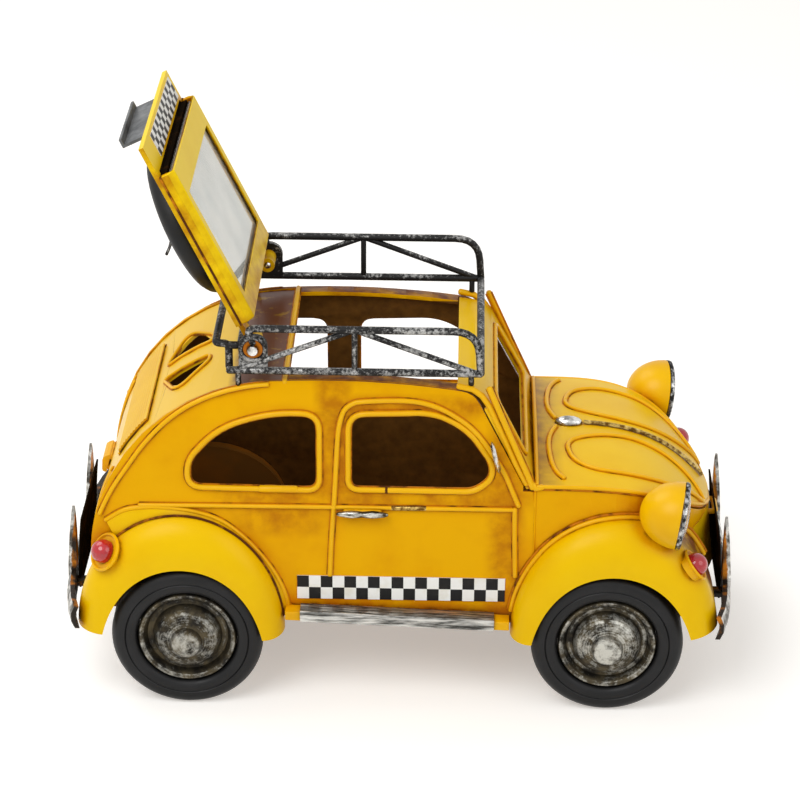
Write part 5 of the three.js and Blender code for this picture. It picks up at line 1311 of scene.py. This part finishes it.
panel_bead("quarter_bead", window_loop(QUARTER_WINDOW), BEAD_RADIUS, True)
panel_bead("door_bead", window_loop(DOOR_WINDOW), BEAD_RADIUS, True)
panel_bead("door_frame_bead", curve(DOOR_FRAME), 0.85)
panel_bead("door_front_bead", curve(DOOR_FRONT), 0.85)
panel_bead("pillar_bead", curve(PILLAR_TRIM), 1.0)
panel_bead("belt_bead", curve(BELT_LINE), 0.75)
panel_bead("tail_bead", tail_rim(), 0.75)

# A sleeve over the joint of each window bead, and bare metal on the belt
for name, start, end, share, radius, material in (
    ("quarter_sleeve", -44.5, -33, 0.13, 1.2, PAINT_BEAD),
    ("door_sleeve", -3.95, -3.65, 0.133, 1.06, STAIN_AND_SHADE),
    ("belt_rub", -2, 9, -0.009, 0.8, AGED),
):
    run = [panel_point(x, glass_height(share), BEAD_PROUD) for x in between(start, end, 2)]
    add_pair(name, tube(run, radius), material)


def tail_bead(name, places, radius, closed=False, add_to=add_pair):
    """A bead through (angle, distance from the middle) places on the rear skin."""
    points = [tail_point(angle, y) for angle, y in places]
    bead(name, points, [tail_normal(angle) for angle, _ in places], radius, closed, add_to)


REAR_WINDOW_MIDDLE = radians(57.4)
REAR_WINDOW = [(6, -8.7, 1.5), (22, -1.7, 6), (10, 8.7, 2), (6, 8.7, 1.5)]
ENGINE_LID_LOW = radians(31)
ENGINE_LID_HIGH = radians(45)
ENGINE_LID_HALF = 29.0
BOOT_LOW = radians(6)
BOOT_HIGH = radians(27)
BOOT_TAPER = 2.0

opening = outline(REAR_WINDOW, outward=0.6, spacing=3)
window = [(REAR_WINDOW_MIDDLE + p.y / SKIN_RADIUS, -p.x) for p in opening]
tail_bead("rear_window_bead", window, 0.55, True)
for name, half in (("boot_edge", 36.4), ("boot_seam", 32.5)):
    places = zip(between(BOOT_LOW, BOOT_HIGH, 10), between(BOOT_TAPER - half, -half, 10))
    tail_bead(name, list(places), 0.6)
angles = between(ENGINE_LID_LOW, ENGINE_LID_HIGH, 8)
lid_side = [tail_point(angle, -ENGINE_LID_HALF) for angle in angles]
add_pair("engine_lid_seam", band(lid_side, [tail_normal(angle) for angle in angles], 0.7), SEAM_AND_SHADE)
for name, degrees, half, radius in (
    ("roof_edge_bead", 91.0, 37.2, 0.9), ("engine_lid_foot_bead", 30.6, 29.5, 0.4),
    ("plate_lamp_seat", 16.6, 4.8, 1.0), ("plate_lamp_foot", 13.0, 4.8, 1.0),
):
    tail_bead(name, [(radians(degrees), y) for y in between(-half, half, 12)], radius, add_to=add)


def bonnet_bead(name, keys, closed=False):
    path = curve(keys, closed)
    bead(name, [bonnet_point(*p) for p in path], [bonnet_normal(*p) for p in path], 0.75, closed)


BONNET_LOOP = [
    (55.3, -17.0), (56.4, -13.1), (58.8, -10.8), (63.5, -8.6), (69.5, -7.0), (76, -6.3), (82.5, -6.8),
    (89, -8.0), (95, -10.0), (99, -12.0), (101, -13.4), (99.6, -16.2), (96, -19.5), (89.6, -24.7),
    (81.7, -28.6), (72.8, -30.3), (65.3, -30.2), (59.7, -27.6), (56.6, -23.4),
]
BONNET_ARC = [(51.6, -3.0), (49.6, -9.5), (49.0, -17.3), (49.8, -27.1), (51.5, -33.3), (53.6, -36.6)]
BONNET_RIM_DROP = 0.5
BONNET_SEAM_SHADE_DROP = 0.95
COWL_BEAD_X = COWL_X + 0.5
COWL_BEAD_HALF = 40.0

bonnet_bead("bonnet_loop", BONNET_LOOP, True)
bonnet_bead("bonnet_arc", BONNET_ARC)


def bonnet_rim():
    """The rolled edge of the bonnet, from one end of the cowl round the nose to the other."""
    xs = [lerp(COWL_X + BONNET_INSET, NOSE_X - BONNET_INSET, 1 - share ** 2) for share in between(1, 0, 40)]
    half = [(x, -nose_half(x), bonnet_edge(x) - BONNET_RIM_DROP) for x in xs]
    return [Vector(p) for p in both_sides(half)]


rim = bonnet_rim()
add("bonnet_rim", tube(rim, 0.7), PAINT_BEAD)
# A dark line under the bonnet's rim: its seam, with painted shadow under the rolled edge
add("bonnet_seam", tube([p - Vector((0, 0, BONNET_SEAM_SHADE_DROP)) for p in rim], 0.4), STAIN_AND_SHADE)
cowl = [bonnet_point(COWL_BEAD_X, y) for y in between(-COWL_BEAD_HALF, COWL_BEAD_HALF, 20)]
add("cowl_bead", tube(cowl, 0.7), PAINT_BEAD)

WINDSCREEN_HOLE = both_sides([(7.5, -31, 3), (28.7, -29, 3)])
WINDSCREEN_FOOT = Vector((COWL_X, 0, COWL_HEIGHT))
slope_up = Vector((-sin(WINDSCREEN_RAKE), 0, cos(WINDSCREEN_RAKE)))
slope_out = Vector((cos(WINDSCREEN_RAKE), 0, sin(WINDSCREEN_RAKE)))
hole = []
for p in outline(WINDSCREEN_HOLE, outward=0.6, spacing=4):
    hole.append(WINDSCREEN_FOOT + slope_up * p.x + Vector((0, p.y, 0)))
bead("windscreen_bead", hole, [slope_out] * len(hole), 0.75, True, add)

ROOF_CORNER = [
    (19, 113.0), (23.6, 112.0), (26.6, 109.8), (28.8, 106.6), (33.0, 97.4), (37.4, 87.4), (41.4, 79.6),
]
COWL_SEAM = [(COWL_X, -40.5, z) for z in between(33, 77.5, 8)]
COWL_CORNER = [(42.6, -40.3, 80.2), (44.4, -40.5, 78.2), (46.4, -40.4, 78.6)]
add_pair("cowl_seam", tube(COWL_SEAM, 0.5), PAINT_NOSE)
add_pair("roof_corner", tube([panel_point(x, z, -0.4) for x, z in ROOF_CORNER], 1.1), PAINT_BEAD)
add_pair("cowl_corner", tube(COWL_CORNER, 1.1), PAINT_BEAD)


# Fender flanges: a raised strip where each fender meets the body

REAR_FLANGE = [
    (-35.6, 31.5), (-37.2, 38.4), (-40.1, 45.2), (-44.9, 52.5), (-50.8, 59.3), (-57.6, 64.8), (-65.4, 67.9),
    (-74.2, 69.3), (-82.1, 69.5), (-89, 68.3), (-95.1, 64.5),
]
FLANGE_ROOT = -40.8
FLANGE_EDGE = -41.7
FLANGE_FOOT = -43.2
FLANGE_TUCK = Vector((0, -0.6))
FRONT_FLANGE_TURNS = (0.55, 2.95)
SHADE_LINE_SHIFT = Vector((0, -0.2, 0.55))


def rear_flange(edge):
    """The strip between the fender's top and the flange's edge, and a dark line at its foot, grime and
    painted shadow in the gap.
    """
    rings = []
    for p in edge:
        along = (p.x + AXLE_X + FENDER_AHEAD) / FENDER_HALF_LENGTH
        up = (p.y - FENDER_FOOT_HEIGHT) / (FENDER_TOP_HEIGHT - FENDER_FOOT_HEIGHT)
        seat = fender_section("rear", atan2(up, along)).seat + FLANGE_TUCK
        places = ((p, FLANGE_ROOT), (p, FLANGE_EDGE), (seat, FLANGE_FOOT), (seat, FLANGE_ROOT))
        rings.append([side_view(point, y) for point, y in places])
    return loft(rings), [ring[2] + SHADE_LINE_SHIFT for ring in rings]


def front_flange(out, inward):
    """A line along the root of the front fender, a little off it."""
    middle = Vector((AXLE_X + FENDER_AHEAD, FENDER_FOOT_HEIGHT))
    line = []
    for turn in between(*FRONT_FLANGE_TURNS, 40):
        section = fender_section("front", turn)
        place = section.seat + (section.seat - middle).normalized() * out
        line.append(side_view(place, inward - section.inner))
    return line


edge = curve(REAR_FLANGE)
flange, shade_line = rear_flange(edge)
add_pair("rear_flange", flange, PAINT_FENDER)
panel_bead("rear_flange_bead", edge, 0.85)
# A dark line in the gap at the rear fender's root: grime and painted shadow
add_pair("rear_flange_shade_line", tube(shade_line, 0.42), SEAM_AND_SHADE)
add_pair("front_flange_bead", tube(front_flange(0.5, -0.2), 0.85), PAINT_BEAD)
# A dark line beside the front fender's root: painted shade on the body, with grime
add_pair("front_flange_crease", tube(front_flange(1.5, 0.5), 0.45), STAIN_AND_SHADE)


# Wheel wells, which close the arches off from the cabin

WELL_RADIUS = 27.2
WELL_FOOT = 4.0
WELL_WALL = (-36.2, -35.6)
WELL_ROOF = (-39.4, -35.5)
WELL_ROOF_GROWTH = 1.02


def wheel_well():
    arc = []
    for angle in between(0, pi, 24):
        arc.append(Vector((WELL_RADIUS * cos(angle), lerp(WELL_FOOT, WELL_RADIUS, sin(angle)))))
    outer, inner = WELL_ROOF
    roof = []
    for p in arc:
        over = p * WELL_ROOF_GROWTH
        ring = ((p, outer), (p, inner), (over, inner), (over, outer))
        roof.append([side_view(point, y) for point, y in ring])
    return joined(plate(arc, *WELL_WALL), loft(roof))


for end, ahead in ENDS.items():
    well = moved(wheel_well(), Matrix.Translation((ahead * AXLE_X, 0, AXLE_HEIGHT)))
    add_pair(f"wheel_well_{end}", well, PAINT_INSIDE)


# Checker strips

CHECK_COLUMNS = 17.6
CHECK_PITCH = 3.877
CHECK_HEIGHT = 4.3
CHECK_PROUD = 0.25
CHECK_X = -33.0
CHECK_FOOT_HEIGHT = 36.3
LID_CHECK_COLUMNS = 18
LID_CHECK_PITCH = 3.05
LID_CHECK_HEIGHT = 2.5
LID_CHECK_PROUD = 0.2
LID_CHECK_CORNER = Vector((65.2, -22, 0.4))


def checker(columns, rows, corner, along, up, outward):
    """One thin plate whose face is cut into squares of two colours, black first in the last row."""
    rings, slots = [], []
    for i in range(ceil(columns) + 1):
        front = [corner + along * min(i, columns) + up * k + outward for k in range(rows + 1)]
        rings.append(front + [front[-1] - outward * 2, front[0] - outward * 2])
        if i < columns:
            slots += [(rows - k + i) % 2 for k in range(rows)] + [0, 0, 0]
    return loft(rings), slots + [0, 0]


squares, slots = checker(
    CHECK_COLUMNS, 2, panel_point(CHECK_X, CHECK_FOOT_HEIGHT), Vector((CHECK_PITCH, 0, 0)),
    Vector((0, 0, CHECK_HEIGHT)), Vector((0, -CHECK_PROUD, 0)),
)
add_pair("checker", squares, CHECK_WHITE, CHECK_BLACK, face_materials=slots)
squares, slots = checker(
    LID_CHECK_COLUMNS, 3, LID_CHECK_CORNER, Vector((0, LID_CHECK_PITCH, 0)),
    Vector((LID_CHECK_HEIGHT, 0, 0)), Vector((0, 0, -LID_CHECK_PROUD)),
)
add("lid_checker", moved(squares, ON_LID), CHECK_WHITE, CHECK_BLACK, body="lid", face_materials=slots)


# Stage, in metres

FLOOR_SIZE = 6
FLOOR_GREY = (0.82, 0.82, 0.81, 1)
FLOOR_LIFT = 0.41
# The floor's glow is tinted warm so that the shadow under the car looks warm, as painted bounce light from
# the yellow body
FLOOR_TINT = (1.0, 0.94, 0.87, 1)
AMBIENT = 0.45
TARGET = Vector((0, 0, 0.06))


def strength_by_ray(tree, scattered, seen):
    """One strength for light that scatters, another for what is seen straight, mirrored or through glass."""
    rays = ("Is Camera Ray", "Is Glossy Ray", "Is Transmission Ray")
    straight, mirrored, through = (new_node(tree, "LightPath", ray, {}) for ray in rays)
    return straight.larger(mirrored).larger(through).spread(0, 1, scattered, seen)


def stage_floor():
    bpy.ops.mesh.primitive_plane_add(size=FLOOR_SIZE)
    floor = bpy.context.object
    floor.name = "floor"
    material = bpy.data.materials.new("pale_floor")
    material.use_nodes = True
    tree = material.node_tree
    matt = new_node(tree, "BsdfDiffuse", "BSDF", {"Color": FLOOR_GREY})
    lift = strength_by_ray(tree, 0.0, FLOOR_LIFT)
    glow = new_node(tree, "Emission", "Emission", {"Color": FLOOR_TINT, "Strength": lift})
    both = new_node(tree, "AddShader", "Shader", {0: matt, 1: glow})
    put(tree, both, tree.nodes["Material Output"].inputs["Surface"])
    floor.data.materials.append(material)


def studio_world():
    world = bpy.data.worlds.new("studio")
    bpy.context.scene.world = world
    world.use_nodes = True
    tree = world.node_tree
    sky = tree.nodes["Background"].inputs
    sky["Color"].default_value = (1, 1, 1, 1)
    put(tree, strength_by_ray(tree, AMBIENT, 1.0), sky["Strength"])


def soft_lamp(name, place, size, power):
    light = bpy.data.lights.new(name, "AREA")
    light.shape = "DISK"
    light.size = size
    light.energy = power
    lamp = bpy.data.objects.new(name, light)
    bpy.context.scene.collection.objects.link(lamp)
    lamp.location = place
    lamp.rotation_euler = (TARGET - Vector(place)).to_track_quat("-Z", "Y").to_euler()


stage_floor()
studio_world()
soft_lamp("key", (-0.45, -0.7, 1.0), 0.8, 7.0)
soft_lamp("fill", (0.9, -0.6, 0.7), 0.9, 3.0)
soft_lamp("top", (-0.6, 0.35, 1.0), 0.8, 4.0)

# Camera, looking at the right side from above
CAMERA_PLACE = Vector((19.37, -840.71, 499.55)) * MM
CAMERA_AZIMUTH = 1.355
CAMERA_ELEVATION = 26
CAMERA_ROLL = 0.321
CAMERA_LENS = 126
CAMERA_SENSOR = 36

aim = turned(CAMERA_AZIMUTH, "Z") @ turned(90 - CAMERA_ELEVATION, "X") @ turned(CAMERA_ROLL, "Z")
lens = bpy.data.cameras.new("camera")
lens.lens = CAMERA_LENS
lens.sensor_width = CAMERA_SENSOR
camera = bpy.data.objects.new("camera", lens)
bpy.context.scene.collection.objects.link(camera)
camera.matrix_world = Matrix.Translation(CAMERA_PLACE) @ aim
bpy.context.scene.camera = camera
bpy.context.scene.view_settings.view_transform = "Standard"
